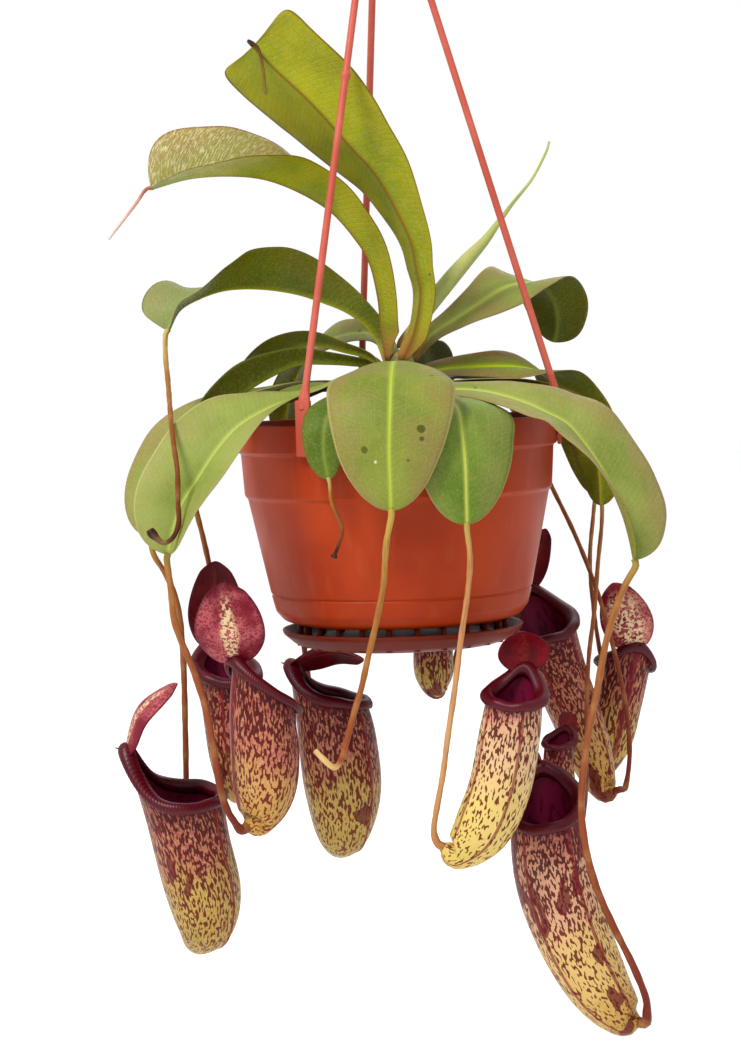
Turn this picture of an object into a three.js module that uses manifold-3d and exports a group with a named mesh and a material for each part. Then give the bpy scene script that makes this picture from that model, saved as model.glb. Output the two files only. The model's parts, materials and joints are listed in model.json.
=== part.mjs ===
// A hanging pitcher plant: a Nepenthes in a moulded pot with a clip-on saucer, carried by three
// plastic strands that meet in a hook. Millimetres, +Z up.
// The plant is laid out round the pot's axis, with z = 0 at the pot's rim. The whole group is then
// lowered by HANG_HEIGHT, so that the origin is the point inside the hook where the weight hangs.
import * as THREE from 'three';
import { mergeVertices } from 'three/addons/utils/BufferGeometryUtils.js';
import Module from 'manifold-3d';

const wasm = await Module();
wasm.setup();

// Pot
const RIM_RADIUS = 86;
const RIM_BAND = 15;
const RIM_EDGE = 0.8;
const SHOULDER_DEPTH = 39;
const SHOULDER_RADIUS = 82.6;
const GROOVE_DEPTH = 92;
const GROOVE_RADIUS = 70;
const POT_DEPTH = 108;
const POT_FOOT_RADIUS = 58;
const POT_WALL = 2;
const POT_SIDES = 32;
const SOIL_DEPTH = 12;
const SOIL_HEAP = 2;

// The gap that is left between neighbours that touch on the real plant.
const GAP = 0.3;

// Saucer
const SAUCER_RADIUS = 65;
const SAUCER_TOP = -111;
const SAUCER_BASE = -121;
const SAUCER_BASE_RADIUS = 52;
const SAUCER_WALL = 2;
const SAUCER_POSTS = 12;
const SAUCER_POST_RING = 54;

// Hanger
const STRAND_RADIUS = 1.9;
const STRAND_AZIMUTHS = { right: -6, back: 103, left: 237 };
const CLIP_WIDTH = 9;
const CLIP_THICK = 2;
const CLIP_RISE = 13;
const CLIP_SLACK = 0.9;
const HUB_BASE = 290;
const HUB_HEIGHT = 10;
const HUB_RADIUS = 9;
const HOOK_ROD = 2.6;
const HOOK_BEND = 13;
const HOOK_CENTRE = 321;
const HANG_HEIGHT = HOOK_CENTRE + HOOK_BEND - HOOK_ROD;

// Stem
const STEM_AT = [4, 0];
const STEM_RADIUS = 7;
const STEM_FOOT = -60;
const STEM = [[STEM_FOOT, 5], [-30, 6.4], [0, STEM_RADIUS], [24, STEM_RADIUS], [33, 6], [36, 3.6]];

// Thickness of the blades and their midribs, and half-widths where a blade starts and ends.
const LEAF_THICK = 0.9;
const RIB_THICK = 1.7;
const BASE_HALF = 2.2;
const TIP_HALF = 1;

// Pitchers are lofted from rings, with a rolled lip round the mouth.
const PITCHER_WALL = 1.6;
const PITCHER_SIDES = 12;
const PITCHER_RINGS = 8;
const LIP_OUT = 2.4;
const LIP_RISE = 2.6;
const LIP_IN = 3;
const LID_HALF_THICK = 0.7;

// Leaves: where each one leaves the stem [azimuth, height], the way that it heads at its base and at
// its tip, the half-width of the blade, how wide the petiole is beside it, how far along it is widest,
// how blunt its tip is and the upward fold of its left and right halves. curl is the fold at the tip
// where it isn't the same, and lobe is how far the corners of a square tip reach ahead of it.
// The midrib runs through [x, y, z, roll], and a fifth number there is added to the fold.
const LEAVES = {
  leaf_tall: {
    at: [272, 32], heading: [262, 262], width: 29, petiole: 0.26, peak: 0.8, blunt: 9, lobe: 10,
    fold: [0, 62], curl: [0, 26],
    rib: [[11, -9, 46, 0], [15, -9, 66, 0], [13, -10, 80, 0], [11, -11, 93, 0], [5, -12, 108, 0],
      [-6, -13, 129, 0], [-21, -14, 147, 0], [-39, -16, 168, 0], [-57, -17, 186, 0], [-69, -18, 199, 0]],
  },
  leaf_arching: {
    at: [183, 32], heading: [180, 180], width: 28, petiole: 0.36, peak: 0.78, blunt: 4.5, fold: [42, 42],
    rib: [[-6, -2, 49, 25], [-7, -3, 65, 25], [-11, -5, 84, 25], [-19, -8, 98, 25],
      [-31, -11, 112, 20], [-48, -14, 123, 5], [-66, -17, 130, -14], [-85, -20, 132, -28],
      [-105, -22, 131, -36], [-125, -24, 126, -40]],
  },
  leaf_bowed: {
    at: [156, 26], heading: [176, 184], width: 25, petiole: 0.32, peak: 0.55, blunt: 8, fold: [42, 42],
    rib: [[-8, 11, 40, 30, 0], [-13, 12, 49, 34, 0], [-24, 12, 58, 36, 0], [-37, 11, 64, 38, 0],
      [-51, 9, 69, 36, -3], [-66, 8, 72, 31, -6], [-80, 5, 73, 22, -14], [-92, 1, 72, 9, -24],
      [-104, -3, 68, -9, -26], [-114, -6, 62, -30, -8], [-120, -10, 51, -40, 0]],
  },
  leaf_left_upper: {
    at: [150, 20], heading: [155, 175], width: 15, petiole: 0.36, peak: 0.6, blunt: 2.4, fold: [24, 36],
    rib: [[-12, 14, 32, 20, 0], [-27, 22, 37, 34, 0], [-44, 31, 41, 38, 0], [-60, 39, 38, 30, -4],
      [-74, 45, 32, 8, -14], [-86, 50, 24, -14, -22], [-96, 53, 12, -26, -26], [-104, 55, -2, -34, -28],
      [-110, 56, -16, -36, -28], [-113, 57, -30, -36, -28]],
  },
  leaf_left_dark: {
    at: [188, 22], heading: [184, 192], width: 17, petiole: 0.3, peak: 0.66, blunt: 2.4, fold: [24, 56],
    rib: [[-12, -3, 28, 20], [-24, -5, 30, 34], [-37, -6, 31, 42], [-50, -7, 31, 44], [-62, -9, 27, 44],
      [-74, -11, 21, 42], [-85, -13, 14, 38], [-95, -15, 5, 30], [-103, -17, -6, 20],
      [-108, -19, -18, 10]],
  },
  leaf_left_low: {
    at: [206, 12], heading: [200, 206], width: 12, petiole: 0.4, peak: 0.55, blunt: 2, fold: [10, 10],
    rib: [[-20, -10, 15, -10], [-38, -16, 17, -10], [-54, -22, 15, -10], [-68, -27, 9, -10]],
  },
  leaf_front_left: {
    at: [226, 24], heading: [220, 214], width: 27, petiole: 0.18, peak: 0.7, blunt: 3, fold: [32, -18],
    curl: [68, 0],
    rib: [[-20, -22, 25, -14], [-34, -39, 19, -20], [-47, -51, 14, -26], [-60, -59, 11, -34],
      [-72, -66, 6, -42], [-83, -72, -1, -48], [-93, -77, -12, -52], [-102, -81, -25, -54],
      [-110, -84, -37, -55], [-115, -87, -50, -55], [-118, -88, -63, -55]],
  },
  leaf_far_left: {
    at: [172, 11], heading: [182, 190], width: 22, petiole: 0.26, peak: 0.74, blunt: 3, fold: [-4, -4],
    rib: [[-26, 6, 20, 0], [-50, 10, 21, 0], [-74, 11, 17, -10], [-95, 10, 10, -26], [-113, 8, -3, -42],
      [-125, 6, -20, -50], [-132, 4, -40, -54], [-134, 2, -60, -54]],
  },
  leaf_small_front: {
    at: [248, 8], heading: [248, 262], width: 13, petiole: 0.4, peak: 0.62, blunt: 2.6, fold: [-6, -6],
    rib: [[-8, -33, 14, 0], [-20, -60, 16, 0], [-31, -80, 10, 0], [-36, -89, 0, 0], [-37, -91, -14, 0],
      [-35, -91, -27, 0]],
  },
  leaf_front: {
    at: [268, 21], heading: [270, 270], width: 33, petiole: 0.24, peak: 0.56, blunt: 1.85, fold: [-9, -9],
    rib: [[1, -26, 28, 0], [0, -48, 31, 0], [-1, -70, 29, 0], [-2, -90, 21, 0], [-3, -103, 6, 0],
      [-4, -108, -13, 0], [-4, -109, -29, 0], [-4, -108, -43, 0]],
  },
  leaf_front_right: {
    at: [296, 6], heading: [296, 284], width: 29, petiole: 0.24, peak: 0.58, blunt: 1.9, fold: [-4, -4],
    rib: [[16, -24, 10, 0], [24, -46, 11, 0], [29, -66, 9.5, 0], [32, -80, 4.5, 0], [33, -90, -5, 0],
      [34, -95, -22, 0], [34, -96, -38, 0], [34, -95, -52, 0]],
  },
  leaf_right: {
    at: [320, 20], heading: [322, 304], width: 30, petiole: 0.3, peak: 0.7, blunt: 3.4, fold: [-12, 0],
    curl: [6, 62],
    rib: [[24, -28, 16, 28], [42, -42, 14.5, 28], [54, -50, 12, 28], [67, -57, 7.5, 27], [78, -62, 2, 22],
      [88, -66, -4, 16], [96, -69, -14, 10], [103, -72, -25, 6], [109, -75, -37, 4], [114, -78, -50, 2],
      [117, -80, -62, 0], [119, -82, -74, 0]],
  },
  leaf_right_back: {
    at: [35, 21], heading: [28, 20], width: 20, petiole: 0.36, peak: 0.6, blunt: 2.4, fold: [8, 8],
    rib: [[24, 15, 25, 34], [38, 22, 26, 42], [54, 28, 26, 40], [68, 34, 25, 28], [80, 39, 22, 8],
      [89, 43, 16, -14], [97, 46, 5, -28], [103, 48, -7, -38], [107, 49, -21, -42], [109, 50, -34, -44],
      [109, 50, -47, -44]],
  },
  leaf_right_high: {
    at: [25, 32], heading: [30, 78], width: 20, petiole: 0.3, peak: 0.7, blunt: 3, fold: [8, 8],
    rib: [[19, 9, 43, 30], [33, 18, 52, 40], [48, 27, 61, 48], [60, 35, 68, 42], [72, 44, 71, 16],
      [83, 55, 70, 0], [90, 64, 61, 0], [92, 69, 49, 0], [90, 71, 38, 0]],
  },
  leaf_right_low: {
    at: [2, 12], heading: [6, 4], width: 17, petiole: 0.3, peak: 0.68, blunt: 2.4, fold: [6, 6],
    rib: [[26, 4, 18, 0], [48, 8, 19, 0], [70, 11, 17, -4], [90, 13, 8, -14], [103, 14, -9, -34],
      [109, 13, -30, -44], [110, 12, -51, -46]],
  },
  leaf_crown_back: {
    at: [70, 26], heading: [70, 84], width: 14, petiole: 0.36, peak: 0.58, blunt: 2, fold: [8, 8],
    rib: [[10, 21, 36, 0], [15, 42, 40, 0], [18, 62, 37, 0], [20, 80, 24, 0], [21, 91, 4, 0],
      [21, 94, -16, 0]],
  },
  leaf_back_left: {
    at: [114, 21], heading: [110, 126], width: 16, petiole: 0.3, peak: 0.58, blunt: 2, fold: [8, 8],
    rib: [[-3, 25, 38, 0], [-14, 44, 46, -30], [-30, 60, 45, -42], [-47, 74, 37, -36], [-58, 85, 20, -16],
      [-63, 90, 2, 0], [-64, 90, -14, 0]],
  },
  leaf_back_right: {
    at: [58, 12], heading: [50, 42], width: 15, petiole: 0.34, peak: 0.6, blunt: 2, fold: [6, 6],
    rib: [[25, 25, 20, 0], [43, 44, 20, 0], [61, 60, 13, 0], [74, 73, -2, 0], [79, 77, -22, 0]],
  },
};

// The youngest leaf, still rolled up: its axis as [x, y, z, radius].
const SPEAR = [[4, 0, 37.6, 2.4], [5, 0, 41, 2.8], [12, 1, 49, 3.4], [20, 3, 60, 4.2], [30, 7, 72, 4.4],
  [41, 11, 84, 3.8], [51, 15, 94, 2.6], [59, 18, 104, 1.6], [67, 20, 114, 1], [78, 23, 127, 0.8],
  [86, 26, 141, 0.7], [88, 27, 147, 0.6]];

// Tendrils: each carries on from the tip of its leaf, as [x, y, z], with a radius at either end.
const TENDRILS = {
  tendril_tall: {
    leaf: 'leaf_tall', radius: [0.9, 0.9],
    path: [[-70, -21, 201], [-66, -23, 197], [-64, -24, 187], [-63, -24, 173]],
  },
  tendril_arching: {
    leaf: 'leaf_arching', radius: [1.1, 0.7],
    path: [[-134, -26, 117], [-148, -28, 100]],
  },
  tendril_bowed: {
    leaf: 'leaf_bowed', radius: [1.4, 1.2],
    path: [[-121, -20, 37], [-119, -36, 26], [-117, -55, 15], [-115, -74, 4], [-113, -88, -7],
      [-111, -96, -20], [-111, -99, -34], [-111, -100, -46], [-114, -100, -53], [-119, -99, -56],
      [-124, -98, -52], [-126, -98, -49]],
  },
  tendril_left_upper: {
    leaf: 'leaf_left_upper', radius: [1.5, 1.6],
    path: [[-114, 58, -46], [-110, 59, -66], [-106, 59, -90], [-104, 60, -120], [-102, 61, -155],
      [-100, 60, -185], [-97, 56, -203]],
  },
  tendril_front_left: {
    leaf: 'leaf_front_left', radius: [1.6, 2],
    path: [[-117, -90, -80], [-116, -91, -95], [-112, -90, -109], [-107, -88, -123], [-102, -86, -142],
      [-99, -84, -162], [-97, -82, -179], [-94, -79, -194], [-90, -75, -203]],
  },
  tendril_far_left: {
    leaf: 'leaf_far_left', radius: [1.5, 1.8],
    path: [[-133, 3, -70], [-127, 8, -82], [-122, 14, -100], [-121, 22, -130], [-122, 30, -170],
      [-123, 34, -210], [-123, 37, -250], [-122, 38, -277]],
  },
  tendril_small_front: {
    leaf: 'leaf_small_front', radius: [1, 0.9],
    path: [[-34, -91, -38], [-31, -91, -46], [-29, -90, -53], [-31, -89, -60], [-34, -88, -67]],
  },
  tendril_front: {
    leaf: 'leaf_front', radius: [1.6, 1.5],
    path: [[-7, -107, -60], [-9, -107, -80], [-13, -105, -98], [-18, -103, -117], [-22, -99, -133],
      [-26, -96, -145], [-30, -92, -159], [-33, -88, -169], [-37, -84, -175], [-42, -80, -172],
      [-47, -77, -167]],
  },
  tendril_front_right: {
    leaf: 'leaf_front_right', radius: [1.4, 1.6],
    path: [[35, -96, -70], [33, -96, -88], [29, -95, -111], [25, -94, -137], [21, -92, -160],
      [18, -91, -179], [14.5, -89, -196], [12.5, -87, -208]],
  },
  tendril_right: {
    leaf: 'leaf_right', radius: [1.7, 2],
    path: [[114, -83, -86], [108, -84, -100], [103, -84, -116], [98, -83, -140], [93, -83, -162],
      [89, -82, -190], [89, -81, -212], [94, -79, -238], [103, -75, -262], [113, -71, -284],
      [120, -65, -303], [121, -60, -313]],
  },
  tendril_right_back: {
    leaf: 'leaf_right_back', radius: [1.1, 1.4],
    path: [[108, 53, -60], [106, 60, -85], [108, 67, -115], [112, 73, -145], [115, 77, -172],
      [114, 78, -192]],
  },
  tendril_right_low: {
    leaf: 'leaf_right_low', radius: [1.1, 1.3],
    path: [[109, 7, -64], [106, -2, -82], [103, -10, -105], [99, -14, -130], [97, -16, -155],
      [96, -16, -185], [95, -14, -207]],
  },
  tendril_crown_back: {
    leaf: 'leaf_crown_back', radius: [1.4, 1.5],
    path: [[23, 98, -40], [29, 103, -75], [33, 108, -105], [33, 110, -130], [27, 108, -151]],
  },
  tendril_back_left: {
    leaf: 'leaf_back_left', radius: [1.5, 1.7],
    path: [[-64, 92, -40], [-62, 91, -80], [-58, 88, -120], [-53, 82, -165], [-49, 74, -205],
      [-45, 65, -234]],
  },
  tendril_back_right: {
    leaf: 'leaf_back_right', radius: [1.2, 1.4],
    path: [[86, 73, -42], [98, 58, -70], [108, 38, -100], [115, 24, -130], [120, 14, -160],
      [121, 6, -185], [118, 1, -203]],
  },
};

// Pitchers: the axis from the foot, where the tendril comes in, to the mouth as [x, y, z, radius],
// the azimuth of the back, where the neck and the lid are, how far the mouth's back stands above its
// front, how high the neck is, and the lid's reach, the way that its underside looks, and half-width.
const PITCHERS = {
  pitcher_far_left: {
    tendril: 'tendril_far_left', back: 182, rise: 5, neck: 28,
    axis: [[-121, 33, -284, 3], [-118, 25, -284, 10], [-114, 17, -273, 17], [-114, 11, -254, 21],
      [-119, 5, -226, 21], [-124, 1, -201, 22]],
    lid: { reach: [29, -4, 36], looks: [0.75, 0.35, -0.5], width: 13 },
  },
  pitcher_left: {
    tendril: 'tendril_front_left', back: 205, rise: 10, neck: 6,
    axis: [[-84, -68, -207, 3], [-79, -64, -204, 10], [-75, -62, -189, 16], [-74, -61, -170, 18],
      [-74, -61, -152, 17.5], [-73, -61, -137, 17]],
    lid: { reach: [-4, -8, 42], looks: [0.1, 0.95, 0], width: 19 },
  },
  pitcher_left_rear: {
    tendril: 'tendril_left_upper', back: 120, rise: 6, neck: 6,
    axis: [[-96, 49, -207, 3], [-95, 42, -205, 8], [-97, 36, -188, 12], [-98, 33, -162, 14],
      [-98, 32, -136, 16.5]],
    lid: { reach: [3, 5, 47], looks: [-0.1, -0.95, -0.1], width: 16 },
  },
  pitcher_left_centre: {
    tendril: 'tendril_back_left', back: 176, rise: 7, neck: 14,
    axis: [[-41, 57, -237, 3], [-39, 49, -237, 10], [-37, 40, -226, 17], [-36, 34, -204, 21.5],
      [-38, 32, -176, 21], [-41, 32, -153, 19]],
    lid: { reach: [40, -6, 3], looks: [0.2, -0.5, -0.85], width: 14 },
  },
  pitcher_front: {
    tendril: 'tendril_front_right', back: 70, rise: 4, neck: 10,
    axis: [[17, -85, -217.5, 2.8], [24, -84, -221, 9], [37, -84, -209, 15], [47, -84, -187, 16],
      [53, -84, -160, 15.5], [56, -84, -141, 14]],
    lid: { reach: [-2, -8, 20], looks: [0, -0.9, -0.4], width: 14 },
  },
  pitcher_lowest: {
    tendril: 'tendril_right', back: 84, rise: 9, neck: 8,
    axis: [[117, -55, -319, 3], [110, -52, -317, 11], [97, -50, -300, 17], [84, -50, -272, 20],
      [75, -51, -240, 20.5], [71, -52, -203, 18.5]],
    lid: { reach: [-16, 4, 14], looks: [-0.4, -0.6, -0.8], width: 10 },
  },
  pitcher_right_rear: {
    tendril: 'tendril_back_right', back: 100, rise: 12, neck: 12,
    axis: [[112, 3, -206, 3], [107, 7, -206, 7], [101, 18, -190, 12], [94, 27, -168, 14],
      [85, 37, -142, 15.5], [78, 43, -117, 16.5]],
    lid: { reach: [12, 4, 33], looks: [0, -0.95, -0.3], width: 9 },
  },
  pitcher_far_right: {
    tendril: 'tendril_right_back', back: 285, rise: 4, neck: 8,
    axis: [[111, 74, -204, 3], [110, 67, -202, 8], [114, 61, -186, 13], [119, 58, -164, 14],
      [124, 58, -143, 14]],
    lid: { reach: [-13, -4, 37], looks: [0.1, 0.95, 0], width: 15 },
  },
  pitcher_small: {
    tendril: 'tendril_right_low', back: 60, rise: 3, neck: 3,
    axis: [[89, -12, -218, 2.4], [86, -13, -216, 5], [83, -14, -206, 8], [81, -14, -191, 8.5],
      [82, -14, -175, 8]],
    lid: { reach: [3, 4, 9], looks: [0, -0.7, -0.7], width: 7 },
  },
  pitcher_back: {
    tendril: 'tendril_crown_back', back: 90, rise: 5, neck: 6,
    axis: [[21, 103, -158, 2.6], [18, 98, -158, 7], [17, 95, -150, 11], [17, 94, -138, 11.5],
      [18, 94, -127, 11]],
    lid: { reach: [0, 3, 22], looks: [0, -0.95, 0.2], width: 9 },
  },
};

const COLOURS = {
  terracotta: 0xb84e2c,
  soil: 0x3a2a20,
  strand: 0xcf6d5c,
  stem: 0x8a8a48,
  leaf: 0x8fa04c,
  spear: 0xa9bb5e,
  tendril: 0xb5793f,
  pitcher: 0xb59a5e,
};

// Small helpers

const vec = (x, y, z) => new THREE.Vector3(x, y, z);
const radians = THREE.MathUtils.degToRad;
const compass = (azimuth) => vec(Math.cos(radians(azimuth)), Math.sin(radians(azimuth)), 0);

const evenly = (count) => Array.from({ length: count }, (_, n) => n / (count - 1));

// A smooth course through rows of numbers, at fractions of its length. The first three are the place.
function course(rows, fractions) {
  const dense = 240;
  const tone = (a, b, c, d, t) => 0.5 * (2 * b + (c - a) * t + (2 * a - 5 * b + 4 * c - d) * t * t
    + (3 * b - a - 3 * c + d) * t * t * t);
  const many = [];
  for (let i = 0; i <= dense; i += 1) {
    const x = (i / dense) * (rows.length - 1);
    const k = Math.min(Math.floor(x), rows.length - 2);
    const b = rows[k];
    const c = rows[k + 1];
    const a = rows[k - 1] ?? b.map((value, n) => 2 * value - c[n]);
    const d = rows[k + 2] ?? c.map((value, n) => 2 * value - b[n]);
    many.push(b.map((value, n) => tone(a[n], value, c[n], d[n], x - k)));
  }
  const along = [0];
  for (let i = 1; i <= dense; i += 1) {
    const step = Math.hypot(...[0, 1, 2].map((n) => many[i][n] - many[i - 1][n]));
    along.push(along[i - 1] + step);
  }
  let i = 0;
  const points = fractions.map((fraction) => {
    const want = along[dense] * fraction;
    while (i < dense - 1 && along[i + 1] < want) i += 1;
    const mix = (want - along[i]) / (along[i + 1] - along[i]);
    return many[i].map((value, m) => value + (many[i + 1][m] - value) * mix);
  });
  return { points, length: along[dense] };
}

function headings(points) {
  return points.map((point, n) => {
    const before = points[Math.max(n - 1, 0)];
    const after = points[Math.min(n + 1, points.length - 1)];
    return vec(after[0] - before[0], after[1] - before[1], after[2] - before[2]).normalize();
  });
}

// A closed body through rings of points that all have the same count. Rings run anticlockwise when
// seen from the last ring. mirrored rings hold an upper face and then the lower face back again, and
// their lower quads are split along the same diagonals as the upper ones.
function loft(rings, mirrored = false) {
  const count = rings[0].length;
  const positions = rings.flat().flatMap((p) => [p.x, p.y, p.z]);
  const index = [];
  for (let k = 0; k < rings.length - 1; k += 1) {
    for (let j = 0; j < count; j += 1) {
      const a = k * count + j;
      const b = k * count + ((j + 1) % count);
      const c = a + count;
      const d = b + count;
      if (mirrored && j >= count / 2) index.push(a, b, c, b, d, c);
      else index.push(a, b, d, a, d, c);
    }
  }
  for (const [k, turn] of [[0, -1], [rings.length - 1, 1]]) {
    const centre = rings[k].reduce((sum, p) => sum.add(p), vec(0, 0, 0)).divideScalar(count);
    const hub = positions.length / 3;
    positions.push(centre.x, centre.y, centre.z);
    for (let j = 0; j < count; j += 1) {
      const a = k * count + j;
      const b = k * count + ((j + 1) % count);
      if (turn > 0) index.push(hub, a, b);
      else index.push(hub, b, a);
    }
  }
  const geometry = new THREE.BufferGeometry();
  geometry.setAttribute('position', new THREE.Float32BufferAttribute(positions, 3));
  geometry.setIndex(index);
  return geometry;
}

// A round rod along a course of [x, y, z, radius], with rings at fractions of its length.
function rod(rows, sides, fractions) {
  const { points } = course(rows, fractions);
  const tangents = headings(points);
  let side = Math.abs(tangents[0].z) > 0.9 ? vec(1, 0, 0) : vec(0, 0, 1);
  const rings = points.map((point, n) => {
    const t = tangents[n];
    side = side.clone().addScaledVector(t, -side.dot(t)).normalize();
    const up = new THREE.Vector3().crossVectors(t, side);
    return Array.from({ length: sides }, (_, j) => {
      const turn = (2 * Math.PI * j) / sides;
      return vec(point[0], point[1], point[2])
        .addScaledVector(side, point[3] * Math.cos(turn))
        .addScaledVector(up, point[3] * Math.sin(turn));
    });
  });
  return loft(rings);
}

function solid(geometry) {
  const bare = geometry.clone();
  bare.deleteAttribute('normal');
  bare.deleteAttribute('uv');
  const welded = mergeVertices(bare, 1e-4);
  return new wasm.Manifold(new wasm.Mesh({
    numProp: 3,
    vertProperties: new Float32Array(welded.attributes.position.array),
    triVerts: new Uint32Array(welded.index.array),
  }));
}

function geometryOf(body) {
  const mesh = body.getMesh();
  const geometry = new THREE.BufferGeometry();
  geometry.setAttribute('position', new THREE.BufferAttribute(new Float32Array(mesh.vertProperties), 3));
  geometry.setIndex(new THREE.BufferAttribute(new Uint32Array(mesh.triVerts), 1));
  return geometry;
}

const group = new THREE.Group();
group.position.z = -HANG_HEIGHT;

function add(name, geometry, colour, roughness = 0.6) {
  geometry.computeVertexNormals();
  const material = new THREE.MeshStandardMaterial({ color: colour, roughness, metalness: 0 });
  const mesh = new THREE.Mesh(geometry, material);
  mesh.name = name;
  group.add(mesh);
}

// A lathe about the pot's axis from an outline of [radius, z] that runs anticlockwise.
function turned(outline, sides) {
  const closed = [...outline, outline[0]].map(([radius, z]) => new THREE.Vector2(radius, z));
  const geometry = new THREE.LatheGeometry(closed, sides);
  geometry.rotateX(Math.PI / 2);
  return geometry;
}

// Pot and soil

// The wall steps in below the rim's band and again at the shoulder, and has a groove near its foot.
function pot() {
  const foot = -POT_DEPTH;
  return turned([
    [0, foot], [POT_FOOT_RADIUS, foot], [POT_FOOT_RADIUS + 6, foot + 2.5], [POT_FOOT_RADIUS + 10, foot + 7.5],
    [GROOVE_RADIUS, -GROOVE_DEPTH - 1], [GROOVE_RADIUS - 0.6, -GROOVE_DEPTH],
    [GROOVE_RADIUS + 0.4, -GROOVE_DEPTH + 1],
    [SHOULDER_RADIUS - 1.6, -SHOULDER_DEPTH - 1.2], [SHOULDER_RADIUS, -SHOULDER_DEPTH],
    [RIM_RADIUS - POT_WALL, -RIM_BAND - 1], [RIM_RADIUS, -RIM_BAND], [RIM_RADIUS, -RIM_EDGE],
    [RIM_RADIUS - RIM_EDGE, 0], [RIM_RADIUS - POT_WALL, 0], [RIM_RADIUS - POT_WALL, -RIM_BAND],
    [SHOULDER_RADIUS - POT_WALL - 0.2, -SHOULDER_DEPTH], [GROOVE_RADIUS - POT_WALL, -GROOVE_DEPTH],
    [POT_FOOT_RADIUS + 7, foot + 8], [POT_FOOT_RADIUS, foot + POT_WALL], [0, foot + POT_WALL],
  ], POT_SIDES);
}

// The potting mix fills the pot to a low heap, with a hole that the stem stands in.
function soil() {
  const top = -SOIL_DEPTH;
  const floor = POT_WALL + GAP - POT_DEPTH;
  const brim = RIM_RADIUS - POT_WALL - 1.2;
  const heap = turned([
    [0, floor], [POT_FOOT_RADIUS - 0.6, floor], [POT_FOOT_RADIUS + 6, floor + 6.1],
    [GROOVE_RADIUS - POT_WALL - 1, -GROOVE_DEPTH], [SHOULDER_RADIUS - POT_WALL - 1.2, -SHOULDER_DEPTH],
    [brim, top - 2], [brim - 3, top], [brim / 2, top + 0.75 * SOIL_HEAP], [0, top + SOIL_HEAP],
  ], POT_SIDES);
  const [x, y] = STEM_AT;
  const wide = STEM_RADIUS + GAP;
  const hole = rod([[x, y, STEM_FOOT - GAP, wide], [x, y, 0, wide]], 14, [0, 1]);
  return geometryOf(solid(heap).subtract(solid(hole)));
}

// Saucer with the small posts that it clips on by

function saucer() {
  const floor = SAUCER_BASE + SAUCER_WALL;
  const dish = turned([
    [0, SAUCER_BASE], [SAUCER_BASE_RADIUS, SAUCER_BASE], [SAUCER_BASE_RADIUS + 6, SAUCER_BASE + 2],
    [SAUCER_RADIUS - 0.5, SAUCER_TOP - 2.5], [SAUCER_RADIUS, SAUCER_TOP],
    [SAUCER_RADIUS - SAUCER_WALL - 0.2, SAUCER_TOP], [SAUCER_BASE_RADIUS + 5, floor + 1.6],
    [SAUCER_BASE_RADIUS - 1, floor], [0, floor],
  ], POT_SIDES);
  let body = solid(dish);
  const head = -POT_DEPTH - GAP;
  const root = floor - SAUCER_WALL / 2;
  for (let n = 0; n < SAUCER_POSTS; n += 1) {
    const post = new THREE.CylinderGeometry(1.5, 2, head - root, 6);
    post.rotateX(Math.PI / 2);
    const where = compass((360 * (n + 0.5)) / SAUCER_POSTS).multiplyScalar(SAUCER_POST_RING);
    post.translate(where.x, where.y, (head + root) / 2);
    body = body.add(solid(post));
  }
  return geometryOf(body);
}

// Hanger

const CLIP_OUTSIDE = RIM_RADIUS + GAP;
const CLIP_INSIDE = RIM_RADIUS - POT_WALL - CLIP_SLACK;

// A strand's straight line from its clip into the hub, drawn at azimuth 0 and then turned.
function strandRoute(radius, reach = 0) {
  const foot = vec(CLIP_OUTSIDE + CLIP_THICK / 2, 0, CLIP_RISE - 5);
  const head = vec(4.6, 0, HUB_BASE + 6);
  const far = head.clone().addScaledVector(head.clone().sub(foot).normalize(), reach);
  return [[foot.x, 0, foot.z, radius], [far.x, 0, far.z, radius]];
}

// A strand is one piece with the clip that hooks over the rim.
function strand(azimuth) {
  const outer = CLIP_OUTSIDE + CLIP_THICK;
  const inner = CLIP_INSIDE - CLIP_THICK;
  const hem = -RIM_BAND - 1;
  const tongue = -SOIL_DEPTH + 5;
  const saddle = GAP + CLIP_THICK;
  const hook = new THREE.Shape([
    [CLIP_OUTSIDE, hem], [outer, hem], [outer, CLIP_RISE], [CLIP_OUTSIDE - 0.6, CLIP_RISE],
    [CLIP_OUTSIDE - 0.6, saddle], [inner, saddle], [inner, tongue], [CLIP_INSIDE, tongue],
    [CLIP_INSIDE, GAP], [CLIP_OUTSIDE, GAP],
  ].map(([x, y]) => new THREE.Vector2(x, y)));
  const clip = new THREE.ExtrudeGeometry(hook, { depth: CLIP_WIDTH, bevelEnabled: false });
  clip.translate(0, 0, -CLIP_WIDTH / 2);
  clip.rotateX(Math.PI / 2);
  const line = rod(strandRoute(STRAND_RADIUS), 8, [0, 1]);
  const geometry = geometryOf(solid(clip).add(solid(line)));
  geometry.rotateZ(radians(azimuth));
  return geometry;
}

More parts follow.
